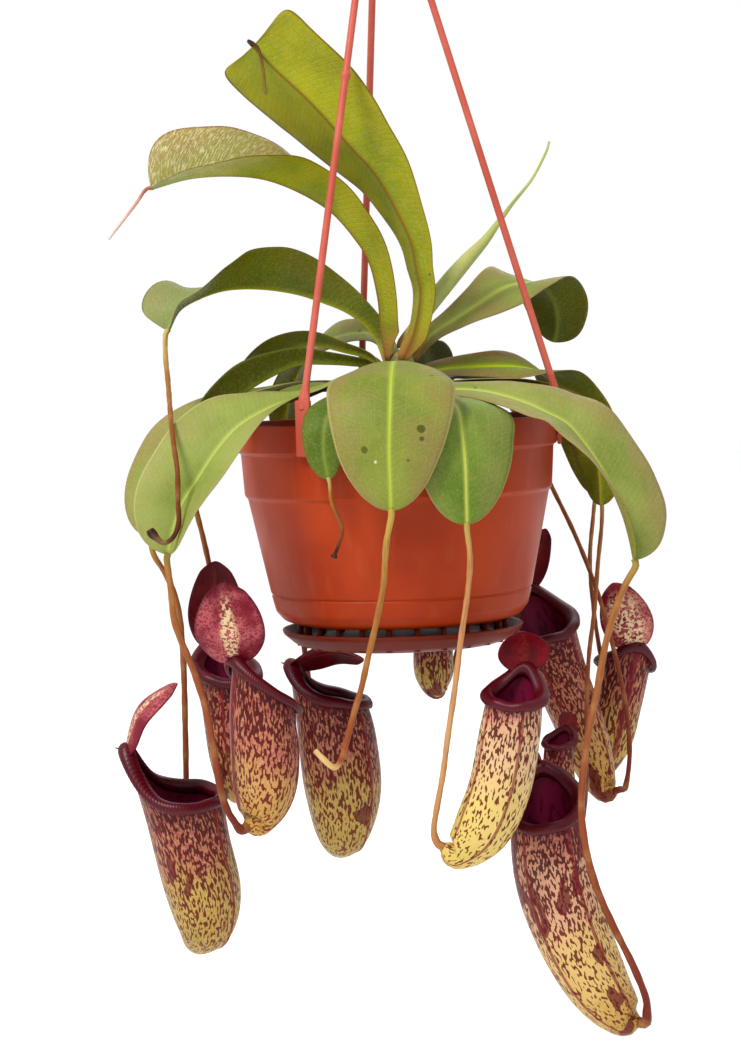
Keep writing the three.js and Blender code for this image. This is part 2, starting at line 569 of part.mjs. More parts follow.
// The hub that the strands plug into, with the hook that stands on it.
function hangerHook() {
  const bend = HOOK_BEND;
  const z = HOOK_CENTRE;
  const top = HUB_BASE + HUB_HEIGHT;
  const rows = [[0, 0, top - 3], [0, 0, top + 2], [5, 0, z - bend], [11, 0, z - 7]];
  for (let turn = 0; turn <= 180; turn += 30) {
    rows.push([bend * Math.cos(radians(turn)), 0, z + bend * Math.sin(radians(turn))]);
  }
  rows.push([-bend - 1, 0, z - 6], [-bend - 5, 0, z - 11]);
  const bow = rod(rows.map((row) => [...row, HOOK_ROD]), 8, evenly(26));
  const hub = turned([
    [0, HUB_BASE], [HUB_RADIUS - 1, HUB_BASE], [HUB_RADIUS, HUB_BASE + 1], [HUB_RADIUS, top - 3],
    [HUB_RADIUS - 4, top], [0, top],
  ], 20);
  let body = solid(hub).add(solid(bow));
  for (const azimuth of Object.values(STRAND_AZIMUTHS)) {
    const socket = rod(strandRoute(STRAND_RADIUS + GAP, GAP), 8, [0, 1]);
    socket.rotateZ(radians(azimuth));
    body = body.subtract(solid(socket));
  }
  return geometryOf(body);
}

// Plant

function stem() {
  const rows = STEM.map(([z, radius]) => [...STEM_AT, z, radius]);
  return rod(rows, 16, [0, 0.3, 0.6, 0.75, 0.87, 0.92, 0.97, 1]);
}

function stemRadius(height) {
  const above = STEM.findIndex(([z]) => z >= height);
  const [[low, before], [high, after]] = STEM.slice(above - 1, above + 1);
  return before + ((after - before) * (height - low)) / (high - low);
}

// Half-width along the leaf, from 0 at the stem to 1 at the tip, beside the widest place.
function outlineAt(u, petiole, peak, blunt) {
  if (u > peak) return Math.sqrt(Math.max(1 - ((u - peak) / (1 - peak)) ** blunt, 0));
  const swell = (u / peak) ** 1.5;
  return petiole + (1 - petiole) * swell * swell * (3 - 2 * swell);
}

// The midrib of a leaf, from the stem's surface to the tip, with its points closer near the tip.
function leafPoints(leaf) {
  const way = compass(leaf.at[0]);
  const ahead = vec(leaf.rib[0][0] - STEM_AT[0], leaf.rib[0][1] - STEM_AT[1], leaf.rib[0][2] - leaf.at[1]);
  ahead.addScaledVector(way, -STEM_RADIUS).normalize();
  const out = way.multiplyScalar(stemRadius(leaf.at[1]) + GAP * 1.5 + LEAF_THICK * 1.3 * Math.abs(ahead.z));
  const first = [STEM_AT[0] + out.x, STEM_AT[1] + out.y, leaf.at[1], ...leaf.rib[0].slice(3)];
  const count = Math.max(9, Math.round(leaf.rib.length * 1.4));
  const fractions = evenly(count).map((u) => 1 - (1 - u) ** 1.4);
  return { fractions, ...course([first, ...leaf.rib], fractions) };
}

// A blade is lofted from flat rings, five points across the top and the same five below. roll turns a
// ring about the midrib, and fold lifts its two halves.
function blade(leaf) {
  const { points, length, fractions } = leafPoints(leaf);
  const tangents = headings(points);
  const { fold, curl = fold, lobe = 0 } = leaf;
  const rings = points.map((point, n) => {
    const u = fractions[n];
    const along = tangents[n];
    const late = Math.max((u - leaf.peak) / (1 - leaf.peak), 0);
    const heading = leaf.heading[0] + (leaf.heading[1] - leaf.heading[0]) * u;
    const level = compass(heading + 90);
    const side = level.addScaledVector(along, -level.dot(along)).normalize();
    const up = new THREE.Vector3().crossVectors(along, side);
    side.applyAxisAngle(along, radians(point[3]));
    up.applyAxisAngle(along, radians(point[3]));
    const grown = leaf.width * outlineAt(u, leaf.petiole, leaf.peak, leaf.blunt);
    const ease = Math.min((u * length) / 14, 1);
    const half = Math.max(BASE_HALF + (grown - BASE_HALF) * ease, TIP_HALF);
    const middle = vec(point[0], point[1], point[2]);
    const place = (v, depth) => {
      const k = v > 0 ? 0 : 1;
      const raised = radians(fold[k] + (curl[k] - fold[k]) * u + (point[4] ?? 0)) * ease;
      const ahead = lobe * ((half * v) / leaf.width) ** 2 * late * (2 - late);
      return middle.clone()
        .addScaledVector(along, ahead)
        .addScaledVector(side, half * v * Math.cos(raised))
        .addScaledVector(up, Math.abs(half * v) * Math.sin(raised) + depth);
    };
    const slim = Math.min(half / 3, 1);
    const thick = (v) => (v === 0 ? Math.max(RIB_THICK * slim, LEAF_THICK) : LEAF_THICK);
    const across = [1, 0.5, 0, -0.5, -1];
    return [
      ...across.map((v) => place(v, LEAF_THICK / 2)),
      ...across.reverse().map((v) => place(v, LEAF_THICK / 2 - thick(v))),
    ];
  });
  return loft(rings, true);
}

// A tendril starts just past its leaf's tip, in line with it, and ends in line with the pitcher's foot.
function tendril(name) {
  const { leaf, radius, path } = TENDRILS[name];
  const { points } = leafPoints(LEAVES[leaf]);
  const along = headings(points).pop();
  const tip = vec(...points.pop().slice(0, 3));
  const rows = [GAP * 2, 3].map((reach) => tip.clone().addScaledVector(along, reach).toArray());
  rows.push(...path);
  const owner = Object.values(PITCHERS).find((pitcher) => pitcher.tendril === name);
  if (owner) {
    const foot = pitcherFrames(owner)[0];
    const middle = vec(...foot.point.slice(0, 3));
    for (const reach of [-4, -GAP * 3]) {
      rows.push(middle.clone().addScaledVector(foot.along, reach).toArray());
    }
  }
  const { length } = course(rows, [0, 1]);
  const end = 2.5 / length;
  const middle = evenly(Math.max(6, Math.round(length / 11))).map((u) => end + (1 - 2 * end) * u);
  const thick = (n) => radius[0] + ((radius[1] - radius[0]) * n) / (rows.length - 1);
  return rod(rows.map((row, n) => [...row, thick(n)]), 5, [0, ...middle, 1]);
}

// Frames along a pitcher: the middle, the tangent, the way to the back and the way to the side.
function pitcherFrames(pitcher) {
  const { points } = course(pitcher.axis, evenly(PITCHER_RINGS));
  const tangents = headings(points);
  return points.map((point, n) => {
    const along = tangents[n];
    const back = compass(pitcher.back);
    back.addScaledVector(along, -back.dot(along)).normalize();
    return { point, along, back, side: new THREE.Vector3().crossVectors(along, back) };
  });
}

// One ring round a pitcher. lift raises it obliquely towards the back, as the mouth is.
function pitcherRing(pitcher, frame, radius, lift, shift = 0) {
  return Array.from({ length: PITCHER_SIDES }, (_, j) => {
    const turn = (2 * Math.PI * j) / PITCHER_SIDES;
    const round = Math.cos(turn);
    const neck = pitcher.neck * ((1 + round) / 2) ** 7;
    const rise = lift * (pitcher.rise * round + neck) + shift;
    return vec(frame.point[0], frame.point[1], frame.point[2])
      .addScaledVector(frame.back, radius * round)
      .addScaledVector(frame.side, radius * Math.sin(turn))
      .addScaledVector(frame.along, rise);
  });
}

// The cup of a pitcher: up its outside, over the lip and down its inside.
function vessel(pitcher) {
  const count = PITCHER_RINGS;
  const frames = pitcherFrames(pitcher);
  const lift = (n) => (n / (count - 1)) ** 3;
  const rim = frames[count - 1];
  const reach = rim.point[3];
  const rings = frames.map((frame, n) => pitcherRing(pitcher, frame, frame.point[3], lift(n)));
  rings.push(pitcherRing(pitcher, rim, reach + LIP_OUT, 1, LIP_RISE / 3));
  rings.push(pitcherRing(pitcher, rim, reach, 1, LIP_RISE));
  rings.push(pitcherRing(pitcher, rim, reach - LIP_IN, 1, -0.4));
  for (let n = count - 2; n >= 2; n -= 1) {
    const inner = Math.max(frames[n].point[3] - PITCHER_WALL, 2);
    rings.push(pitcherRing(pitcher, frames[n], inner, lift(n)));
  }
  return loft(rings);
}

// The lid stands on the neck at the back of the mouth, arched along its length and across it.
function lid(pitcher) {
  const rim = pitcherFrames(pitcher).pop();
  const root = pitcherRing(pitcher, rim, rim.point[3] - 0.4, 1, -1)[0];
  const reach = vec(...pitcher.lid.reach);
  const length = reach.length();
  const along = reach.normalize();
  const looks = vec(...pitcher.lid.looks);
  looks.addScaledVector(along, -looks.dot(along)).normalize();
  const side = new THREE.Vector3().crossVectors(along, looks);
  const steps = 7;
  const across = [1, 0.55, 0, -0.55, -1];
  const rings = [];
  for (let n = 0; n < steps; n += 1) {
    const u = n / (steps - 1);
    const spread = Math.sin(Math.PI * Math.min(0.1 + 0.84 * u ** 0.85, 1)) ** 0.7;
    const half = Math.max(pitcher.lid.width * spread, 1.6);
    const arch = -0.16 * length * Math.sin(Math.PI * u);
    const place = (v, thick) => root.clone()
      .addScaledVector(along, length * u)
      .addScaledVector(side, half * v * 0.96)
      .addScaledVector(looks, arch + half * 0.22 * v * v + thick);
    rings.push([
      ...across.map((v) => place(v, -LID_HALF_THICK)),
      ...[...across].reverse().map((v) => place(v, LID_HALF_THICK)),
    ]);
  }
  return loft(rings, true);
}

add('pot', pot(), COLOURS.terracotta, 0.55);
add('soil', soil(), COLOURS.soil, 0.95);
add('saucer', saucer(), COLOURS.terracotta, 0.55);
for (const [side, azimuth] of Object.entries(STRAND_AZIMUTHS)) {
  add(`strand_${side}`, strand(azimuth), COLOURS.strand, 0.5);
}
add('hanger_hook', hangerHook(), COLOURS.strand, 0.5);
add('stem', stem(), COLOURS.stem, 0.7);
for (const [name, leaf] of Object.entries(LEAVES)) {
  add(name, blade(leaf), COLOURS.leaf, 0.45);
}
add('leaf_spear', rod(SPEAR, 8, evenly(16)), COLOURS.spear, 0.5);
for (const name of Object.keys(TENDRILS)) {
  add(name, tendril(name), COLOURS.tendril, 0.6);
}
for (const [name, pitcher] of Object.entries(PITCHERS)) {
  add(name, geometryOf(solid(vessel(pitcher)).add(solid(lid(pitcher)))), COLOURS.pitcher, 0.45);
}

export default group;
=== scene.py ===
# Dresses the hanging pitcher plant: pot, saucer, hanger, soil, stem, leaves, tendrils and pitchers.
import json
import math

import bmesh
import bpy
import numpy as np
from mathutils import Matrix, Vector

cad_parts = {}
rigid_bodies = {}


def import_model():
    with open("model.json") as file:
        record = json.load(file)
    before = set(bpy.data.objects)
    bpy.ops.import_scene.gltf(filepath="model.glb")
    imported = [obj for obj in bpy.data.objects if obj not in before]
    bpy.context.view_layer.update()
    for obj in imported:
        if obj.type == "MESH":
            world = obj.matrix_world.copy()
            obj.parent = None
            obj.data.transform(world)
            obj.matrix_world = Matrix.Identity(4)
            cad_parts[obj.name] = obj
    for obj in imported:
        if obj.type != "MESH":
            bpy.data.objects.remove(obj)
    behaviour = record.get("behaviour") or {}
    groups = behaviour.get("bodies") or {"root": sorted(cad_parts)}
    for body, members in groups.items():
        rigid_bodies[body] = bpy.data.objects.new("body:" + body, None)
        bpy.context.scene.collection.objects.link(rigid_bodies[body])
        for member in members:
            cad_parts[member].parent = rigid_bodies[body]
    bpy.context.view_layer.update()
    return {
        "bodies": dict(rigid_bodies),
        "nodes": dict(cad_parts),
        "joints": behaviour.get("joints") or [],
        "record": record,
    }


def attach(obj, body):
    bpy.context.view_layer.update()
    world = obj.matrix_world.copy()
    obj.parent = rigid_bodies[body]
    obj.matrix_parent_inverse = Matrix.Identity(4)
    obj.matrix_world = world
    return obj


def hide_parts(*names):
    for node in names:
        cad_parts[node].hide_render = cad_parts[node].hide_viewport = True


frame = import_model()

SEED = 20
PITCHER_SEED = 40

# Everything is laid out in millimetres with z = 0 at the pot's rim, as the solids are, and make()
# turns it into metres and lowers it to hang from the origin.
MM = 0.001
HANG_HEIGHT = 331.4
GAP = 0.3

# Pot and saucer
RIM_RADIUS = 86
RIM_BAND = 15
SHOULDER_DEPTH = 39
SHOULDER_RADIUS = 82.6
GROOVE_DEPTH = 92
GROOVE_RADIUS = 70
POT_DEPTH = 108
POT_FOOT_RADIUS = 58
POT_WALL = 2
SOIL_DEPTH = 12
SAUCER_RADIUS = 65
SAUCER_TOP = -111
SAUCER_BASE = -121
SAUCER_BASE_RADIUS = 52
SAUCER_POSTS = 24
SAUCER_POST_RING = 55.5

# Hanger
STRAND_RADIUS = 1.9
STRAND_AZIMUTHS = {"right": -6, "back": 103, "left": 237}
CLIP_WIDTH = 9
CLIP_THICK = 2
CLIP_RISE = 13
CLIP_SLACK = 0.9
CLIP_OUTSIDE = RIM_RADIUS + GAP
CLIP_INSIDE = RIM_RADIUS - POT_WALL - CLIP_SLACK
HUB_BASE = 290
HUB_HEIGHT = 10
HUB_RADIUS = 9
HOOK_ROD = 2.6
HOOK_BEND = 13
HOOK_CENTRE = 321

# Stem
STEM_AT = np.array([4.0, 0.0])
STEM_RADIUS = 7
STEM_FOOT = -60
STEM = [[STEM_FOOT, 5], [-30, 6.4], [0, STEM_RADIUS], [24, STEM_RADIUS], [33, 6], [36, 3.6]]

# Leaves: where each one leaves the stem as [azimuth, height], the azimuths that its base and its tip
# head in, the half-width of the blade, how wide the petiole is beside it, how far along it is widest
# and how blunt its tip is. Then the upward fold of its left and right halves, with the fold at the tip
# as curl where that differs, and as lobe how far the sides reach past the midrib's tip. rib is the
# midrib as [x, y, z, roll], and a fifth value is added to the fold there.
LEAVES = {
    "leaf_tall": dict(at=[272, 32], heading=[262, 262], width=29, petiole=0.26, peak=0.8, blunt=9,
        fold=[0, 62], curl=[0, 26], lobe=10,
        rib=[[11, -9, 46, 0], [15, -9, 66, 0], [13, -10, 80, 0], [11, -11, 93, 0], [5, -12, 108, 0],
             [-6, -13, 129, 0], [-21, -14, 147, 0], [-39, -16, 168, 0], [-57, -17, 186, 0],
             [-69, -18, 199, 0]]),
    "leaf_arching": dict(at=[183, 32], heading=[180, 180], width=28, petiole=0.36, peak=0.78, blunt=4.5,
        fold=[42, 42],
        rib=[[-6, -2, 49, 25], [-7, -3, 65, 25], [-11, -5, 84, 25], [-19, -8, 98, 25],
             [-31, -11, 112, 20], [-48, -14, 123, 5], [-66, -17, 130, -14], [-85, -20, 132, -28],
             [-105, -22, 131, -36], [-125, -24, 126, -40]]),
    "leaf_bowed": dict(at=[156, 26], heading=[176, 184], width=25, petiole=0.32, peak=0.55, blunt=8,
        fold=[42, 42],
        rib=[[-8, 11, 40, 30, 0], [-13, 12, 49, 34, 0], [-24, 12, 58, 36, 0], [-37, 11, 64, 38, 0],
             [-51, 9, 69, 36, -3], [-66, 8, 72, 31, -6], [-80, 5, 73, 22, -14], [-92, 1, 72, 9, -24],
             [-104, -3, 68, -9, -26], [-114, -6, 62, -30, -8], [-120, -10, 51, -40, 0]]),
    "leaf_left_upper": dict(at=[150, 20], heading=[155, 175], width=15, petiole=0.36, peak=0.6, blunt=2.4,
        fold=[24, 36],
        rib=[[-12, 14, 32, 20, 0], [-27, 22, 37, 34, 0], [-44, 31, 41, 38, 0], [-60, 39, 38, 30, -4],
             [-74, 45, 32, 8, -14], [-86, 50, 24, -14, -22], [-96, 53, 12, -26, -26],
             [-104, 55, -2, -34, -28], [-110, 56, -16, -36, -28], [-113, 57, -30, -36, -28]]),
    "leaf_left_dark": dict(at=[188, 22], heading=[184, 192], width=17, petiole=0.3, peak=0.66, blunt=2.4,
        fold=[24, 56],
        rib=[[-12, -3, 28, 20], [-24, -5, 30, 34], [-37, -6, 31, 42], [-50, -7, 31, 44],
             [-62, -9, 27, 44], [-74, -11, 21, 42], [-85, -13, 14, 38], [-95, -15, 5, 30],
             [-103, -17, -6, 20], [-108, -19, -18, 10]]),
    "leaf_left_low": dict(at=[206, 12], heading=[200, 206], width=12, petiole=0.4, peak=0.55, blunt=2,
        fold=[10, 10],
        rib=[[-20, -10, 15, -10], [-38, -16, 17, -10], [-54, -22, 15, -10], [-68, -27, 9, -10]]),
    "leaf_front_left": dict(at=[226, 24], heading=[220, 214], width=27, petiole=0.18, peak=0.7, blunt=3,
        fold=[32, -18], curl=[68, 0],
        rib=[[-20, -22, 25, -14], [-34, -39, 19, -20], [-47, -51, 14, -26], [-60, -59, 11, -34],
             [-72, -66, 6, -42], [-83, -72, -1, -48], [-93, -77, -12, -52], [-102, -81, -25, -54],
             [-110, -84, -37, -55], [-115, -87, -50, -55], [-118, -88, -63, -55]]),
    "leaf_far_left": dict(at=[172, 11], heading=[182, 190], width=22, petiole=0.26, peak=0.74, blunt=3,
        fold=[-4, -4],
        rib=[[-26, 6, 20, 0], [-50, 10, 21, 0], [-74, 11, 17, -10], [-95, 10, 10, -26],
             [-113, 8, -3, -42], [-125, 6, -20, -50], [-132, 4, -40, -54], [-134, 2, -60, -54]]),
    "leaf_small_front": dict(at=[248, 8], heading=[248, 262], width=13, petiole=0.4, peak=0.62, blunt=2.6,
        fold=[-6, -6],
        rib=[[-8, -33, 14, 0], [-20, -60, 16, 0], [-31, -80, 10, 0], [-36, -89, 0, 0],
             [-37, -91, -14, 0], [-35, -91, -27, 0]]),
    "leaf_front": dict(at=[268, 21], heading=[270, 270], width=33, petiole=0.24, peak=0.56, blunt=1.85,
        fold=[-9, -9],
        rib=[[1, -26, 28, 0], [0, -48, 31, 0], [-1, -70, 29, 0], [-2, -90, 21, 0], [-3, -103, 6, 0],
             [-4, -108, -13, 0], [-4, -109, -29, 0], [-4, -108, -43, 0]]),
    "leaf_front_right": dict(at=[296, 6], heading=[296, 284], width=29, petiole=0.24, peak=0.58, blunt=1.9,
        fold=[-4, -4],
        rib=[[16, -24, 10, 0], [24, -46, 11, 0], [29, -66, 9.5, 0], [32, -80, 4.5, 0], [33, -90, -5, 0],
             [34, -95, -22, 0], [34, -96, -38, 0], [34, -95, -52, 0]]),
    "leaf_right": dict(at=[320, 20], heading=[322, 304], width=30, petiole=0.3, peak=0.7, blunt=3.4,
        fold=[-12, 0], curl=[6, 62],
        rib=[[24, -28, 16, 28], [42, -42, 14.5, 28], [54, -50, 12, 28], [67, -57, 7.5, 27],
             [78, -62, 2, 22], [88, -66, -4, 16], [96, -69, -14, 10], [103, -72, -25, 6],
             [109, -75, -37, 4], [114, -78, -50, 2], [117, -80, -62, 0], [119, -82, -74, 0]]),
    "leaf_right_back": dict(at=[35, 21], heading=[28, 20], width=20, petiole=0.36, peak=0.6, blunt=2.4,
        fold=[8, 8],
        rib=[[24, 15, 25, 34], [38, 22, 26, 42], [54, 28, 26, 40], [68, 34, 25, 28], [80, 39, 22, 8],
             [89, 43, 16, -14], [97, 46, 5, -28], [103, 48, -7, -38], [107, 49, -21, -42],
             [109, 50, -34, -44], [109, 50, -47, -44]]),
    "leaf_right_high": dict(at=[25, 32], heading=[30, 78], width=20, petiole=0.3, peak=0.7, blunt=3,
        fold=[8, 8],
        rib=[[19, 9, 43, 30], [33, 18, 52, 40], [48, 27, 61, 48], [60, 35, 68, 42], [72, 44, 71, 16],
             [83, 55, 70, 0], [90, 64, 61, 0], [92, 69, 49, 0], [90, 71, 38, 0]]),
    "leaf_right_low": dict(at=[2, 12], heading=[6, 4], width=17, petiole=0.3, peak=0.68, blunt=2.4,
        fold=[6, 6],
        rib=[[26, 4, 18, 0], [48, 8, 19, 0], [70, 11, 17, -4], [90, 13, 8, -14], [103, 14, -9, -34],
             [109, 13, -30, -44], [110, 12, -51, -46]]),
    "leaf_crown_back": dict(at=[70, 26], heading=[70, 84], width=14, petiole=0.36, peak=0.58, blunt=2,
        fold=[8, 8],
        rib=[[10, 21, 36, 0], [15, 42, 40, 0], [18, 62, 37, 0], [20, 80, 24, 0], [21, 91, 4, 0],
             [21, 94, -16, 0]]),
    "leaf_back_left": dict(at=[114, 21], heading=[110, 126], width=16, petiole=0.3, peak=0.58, blunt=2,
        fold=[8, 8],
        rib=[[-3, 25, 38, 0], [-14, 44, 46, -30], [-30, 60, 45, -42], [-47, 74, 37, -36],
             [-58, 85, 20, -16], [-63, 90, 2, 0], [-64, 90, -14, 0]]),
    "leaf_back_right": dict(at=[58, 12], heading=[50, 42], width=15, petiole=0.34, peak=0.6, blunt=2,
        fold=[6, 6],
        rib=[[25, 25, 20, 0], [43, 44, 20, 0], [61, 60, 13, 0], [74, 73, -2, 0], [79, 77, -22, 0]]),
}

# Tendrils: each carries on from the tip of its leaf, as [x, y, z], with a radius at either end.
TENDRILS = {
    "tendril_tall": dict(leaf="leaf_tall", radius=[0.9, 0.9],
        path=[[-70, -21, 201], [-66, -23, 197], [-64, -24, 187], [-63, -24, 173]]),
    "tendril_arching": dict(leaf="leaf_arching", radius=[1.1, 0.7],
        path=[[-134, -26, 117], [-148, -28, 100]]),
    "tendril_bowed": dict(leaf="leaf_bowed", radius=[1.4, 1.2],
        path=[[-121, -20, 37], [-119, -36, 26], [-117, -55, 15], [-115, -74, 4], [-113, -88, -7],
              [-111, -96, -20], [-111, -99, -34], [-111, -100, -46], [-114, -100, -53], [-119, -99, -56],
              [-124, -98, -52], [-126, -98, -49]]),
    "tendril_left_upper": dict(leaf="leaf_left_upper", radius=[1.5, 1.6],
        path=[[-114, 58, -46], [-110, 59, -66], [-106, 59, -90], [-104, 60, -120], [-102, 61, -155],
              [-100, 60, -185], [-97, 56, -203]]),
    "tendril_front_left": dict(leaf="leaf_front_left", radius=[1.6, 2],
        path=[[-117, -90, -80], [-116, -91, -95], [-112, -90, -109], [-107, -88, -123],
              [-102, -86, -142], [-99, -84, -162], [-97, -82, -179], [-94, -79, -194], [-90, -75, -203]]),
    "tendril_far_left": dict(leaf="leaf_far_left", radius=[1.5, 1.8],
        path=[[-133, 3, -70], [-127, 8, -82], [-122, 14, -100], [-121, 22, -130], [-122, 30, -170],
              [-123, 34, -210], [-123, 37, -250], [-122, 38, -277]]),
    "tendril_small_front": dict(leaf="leaf_small_front", radius=[1, 0.9],
        path=[[-34, -91, -38], [-31, -91, -46], [-29, -90, -53], [-31, -89, -60], [-34, -88, -67]]),
    "tendril_front": dict(leaf="leaf_front", radius=[1.6, 1.5],
        path=[[-7, -107, -60], [-9, -107, -80], [-13, -105, -98], [-18, -103, -117], [-22, -99, -133],
              [-26, -96, -145], [-30, -92, -159], [-33, -88, -169], [-37, -84, -175], [-42, -80, -172],
              [-47, -77, -167]]),
    "tendril_front_right": dict(leaf="leaf_front_right", radius=[1.4, 1.6],
        path=[[35, -96, -70], [33, -96, -88], [29, -95, -111], [25, -94, -137], [21, -92, -160],
              [18, -91, -179], [14.5, -89, -196], [12.5, -87, -208]]),
    "tendril_right": dict(leaf="leaf_right", radius=[1.7, 2],
        path=[[114, -83, -86], [108, -84, -100], [103, -84, -116], [98, -83, -140], [93, -83, -162],
              [89, -82, -190], [89, -81, -212], [94, -79, -238], [103, -75, -262], [113, -71, -284],
              [120, -65, -303], [121, -60, -313]]),
    "tendril_right_back": dict(leaf="leaf_right_back", radius=[1.1, 1.4],
        path=[[108, 53, -60], [106, 60, -85], [108, 67, -115], [112, 73, -145], [115, 77, -172],
              [114, 78, -192]]),
    "tendril_right_low": dict(leaf="leaf_right_low", radius=[1.1, 1.3],
        path=[[109, 7, -64], [106, -2, -82], [103, -10, -105], [99, -14, -130], [97, -16, -155],
              [96, -16, -185], [95, -14, -207]]),
    "tendril_crown_back": dict(leaf="leaf_crown_back", radius=[1.4, 1.5],
        path=[[23, 98, -40], [29, 103, -75], [33, 108, -105], [33, 110, -130], [27, 108, -151]]),
    "tendril_back_left": dict(leaf="leaf_back_left", radius=[1.5, 1.7],
        path=[[-64, 92, -40], [-62, 91, -80], [-58, 88, -120], [-53, 82, -165], [-49, 74, -205],
              [-45, 65, -234]]),
    "tendril_back_right": dict(leaf="leaf_back_right", radius=[1.2, 1.4],
        path=[[86, 73, -42], [98, 58, -70], [108, 38, -100], [115, 24, -130], [120, 14, -160],
              [121, 6, -185], [118, 1, -203]]),
}

# Pitchers: the azimuth of the back, where the neck and the lid are, how far the mouth's back stands
# above its middle, how high the neck is, the lid's reach, the way that its underside looks and its
# half-width, and the axis from the foot to the mouth as [x, y, z, radius].
PITCHERS = {
    "pitcher_far_left": dict(tendril="tendril_far_left", back=182, rise=5, neck=28,
        lid=dict(reach=[29, -4, 36], looks=[0.75, 0.35, -0.5], width=13),
        axis=[[-121, 33, -284, 3], [-118, 25, -284, 10], [-114, 17, -273, 17], [-114, 11, -254, 21],
              [-119, 5, -226, 21], [-124, 1, -201, 22]]),
    "pitcher_left": dict(tendril="tendril_front_left", back=205, rise=10, neck=6,
        lid=dict(reach=[-4, -8, 42], looks=[0.1, 0.95, 0], width=19),
        axis=[[-84, -68, -207, 3], [-79, -64, -204, 10], [-75, -62, -189, 16], [-74, -61, -170, 18],
              [-74, -61, -152, 17.5], [-73, -61, -137, 17]]),
    "pitcher_left_rear": dict(tendril="tendril_left_upper", back=120, rise=6, neck=6,
        lid=dict(reach=[3, 5, 47], looks=[-0.1, -0.95, -0.1], width=16),
        axis=[[-96, 49, -207, 3], [-95, 42, -205, 8], [-97, 36, -188, 12], [-98, 33, -162, 14],
              [-98, 32, -136, 16.5]]),
    "pitcher_left_centre": dict(tendril="tendril_back_left", back=176, rise=7, neck=14,
        lid=dict(reach=[40, -6, 3], looks=[0.2, -0.5, -0.85], width=14),
        axis=[[-41, 57, -237, 3], [-39, 49, -237, 10], [-37, 40, -226, 17], [-36, 34, -204, 21.5],
              [-38, 32, -176, 21], [-41, 32, -153, 19]]),
    "pitcher_front": dict(tendril="tendril_front_right", back=70, rise=4, neck=10,
        lid=dict(reach=[-2, -8, 20], looks=[0, -0.9, -0.4], width=14),
        axis=[[17, -85, -217.5, 2.8], [24, -84, -221, 9], [37, -84, -209, 15], [47, -84, -187, 16],
              [53, -84, -160, 15.5], [56, -84, -141, 14]]),
    "pitcher_lowest": dict(tendril="tendril_right", back=84, rise=9, neck=8,
        lid=dict(reach=[-16, 4, 14], looks=[-0.4, -0.6, -0.8], width=10),
        axis=[[117, -55, -319, 3], [110, -52, -317, 11], [97, -50, -300, 17], [84, -50, -272, 20],
              [75, -51, -240, 20.5], [71, -52, -203, 18.5]]),
    "pitcher_right_rear": dict(tendril="tendril_back_right", back=100, rise=12, neck=12,
        lid=dict(reach=[12, 4, 33], looks=[0, -0.95, -0.3], width=9),
        axis=[[112, 3, -206, 3], [107, 7, -206, 7], [101, 18, -190, 12], [94, 27, -168, 14],
              [85, 37, -142, 15.5], [78, 43, -117, 16.5]]),
    "pitcher_far_right": dict(tendril="tendril_right_back", back=285, rise=4, neck=8,
        lid=dict(reach=[-13, -4, 37], looks=[0.1, 0.95, 0], width=15),
        axis=[[111, 74, -204, 3], [110, 67, -202, 8], [114, 61, -186, 13], [119, 58, -164, 14],
              [124, 58, -143, 14]]),
    "pitcher_small": dict(tendril="tendril_right_low", back=60, rise=3, neck=3,
        lid=dict(reach=[3, 4, 9], looks=[0, -0.7, -0.7], width=7),
        axis=[[89, -12, -218, 2.4], [86, -13, -216, 5], [83, -14, -206, 8], [81, -14, -191, 8.5],
              [82, -14, -175, 8]]),
    "pitcher_back": dict(tendril="tendril_crown_back", back=90, rise=5, neck=6,
        lid=dict(reach=[0, 3, 22], looks=[0, -0.95, 0.2], width=9),
        axis=[[21, 103, -158, 2.6], [18, 98, -158, 7], [17, 95, -150, 11], [17, 94, -138, 11.5],
              [18, 94, -127, 11]]),
}

# The youngest leaf, still rolled up: its axis as [x, y, z, radius].
SPEAR = [
    [4, 0, 37.6, 2.4], [5, 0, 41, 2.8], [12, 1, 49, 3.4], [20, 3, 60, 4.2], [30, 7, 72, 4.4],
    [41, 11, 84, 3.8], [51, 15, 94, 2.6], [59, 18, 104, 1.6], [67, 20, 114, 1], [78, 23, 127, 0.8],
    [86, 26, 141, 0.7], [88, 27, 147, 0.6],
]

# Tendrils that never grew a pitcher: a thread, a bleached one, two with a dead bud and a stub.
DRIED = {
    "tendril_tall": "thin",
    "tendril_arching": "fading",
    "tendril_bowed": "withered",
    "tendril_small_front": "withered",
    "tendril_front": "stub",
}

# Colours along a tendril, from its leaf on.
TENDRIL_COLOURS = {
    "live": [(0, (172, 150, 82)), (0.08, (174, 116, 72)), (0.5, (154, 84, 56)), (1, (122, 46, 36))],
    "pale": [(0, (190, 164, 98)), (0.15, (206, 150, 104)), (0.7, (218, 166, 122)), (1, (196, 136, 92))],
    "withered": [(0, (206, 186, 116)), (0.25, (168, 112, 58)), (0.8, (120, 62, 34)), (0.92, (48, 22, 20)),
                 (1, (38, 16, 16))],
    "stub": [(0, (196, 166, 92)), (0.3, (176, 122, 70)), (0.86, (160, 84, 50)), (0.9, (228, 190, 132)),
             (1, (240, 208, 150))],
    "fading": [(0, (186, 118, 96)), (0.4, (220, 172, 154)), (0.8, (240, 214, 204)), (1, (246, 230, 224))],
    "thin": [(0, (60, 28, 20)), (0.2, (40, 18, 14)), (0.6, (120, 96, 40)), (1, (136, 116, 56))],
}

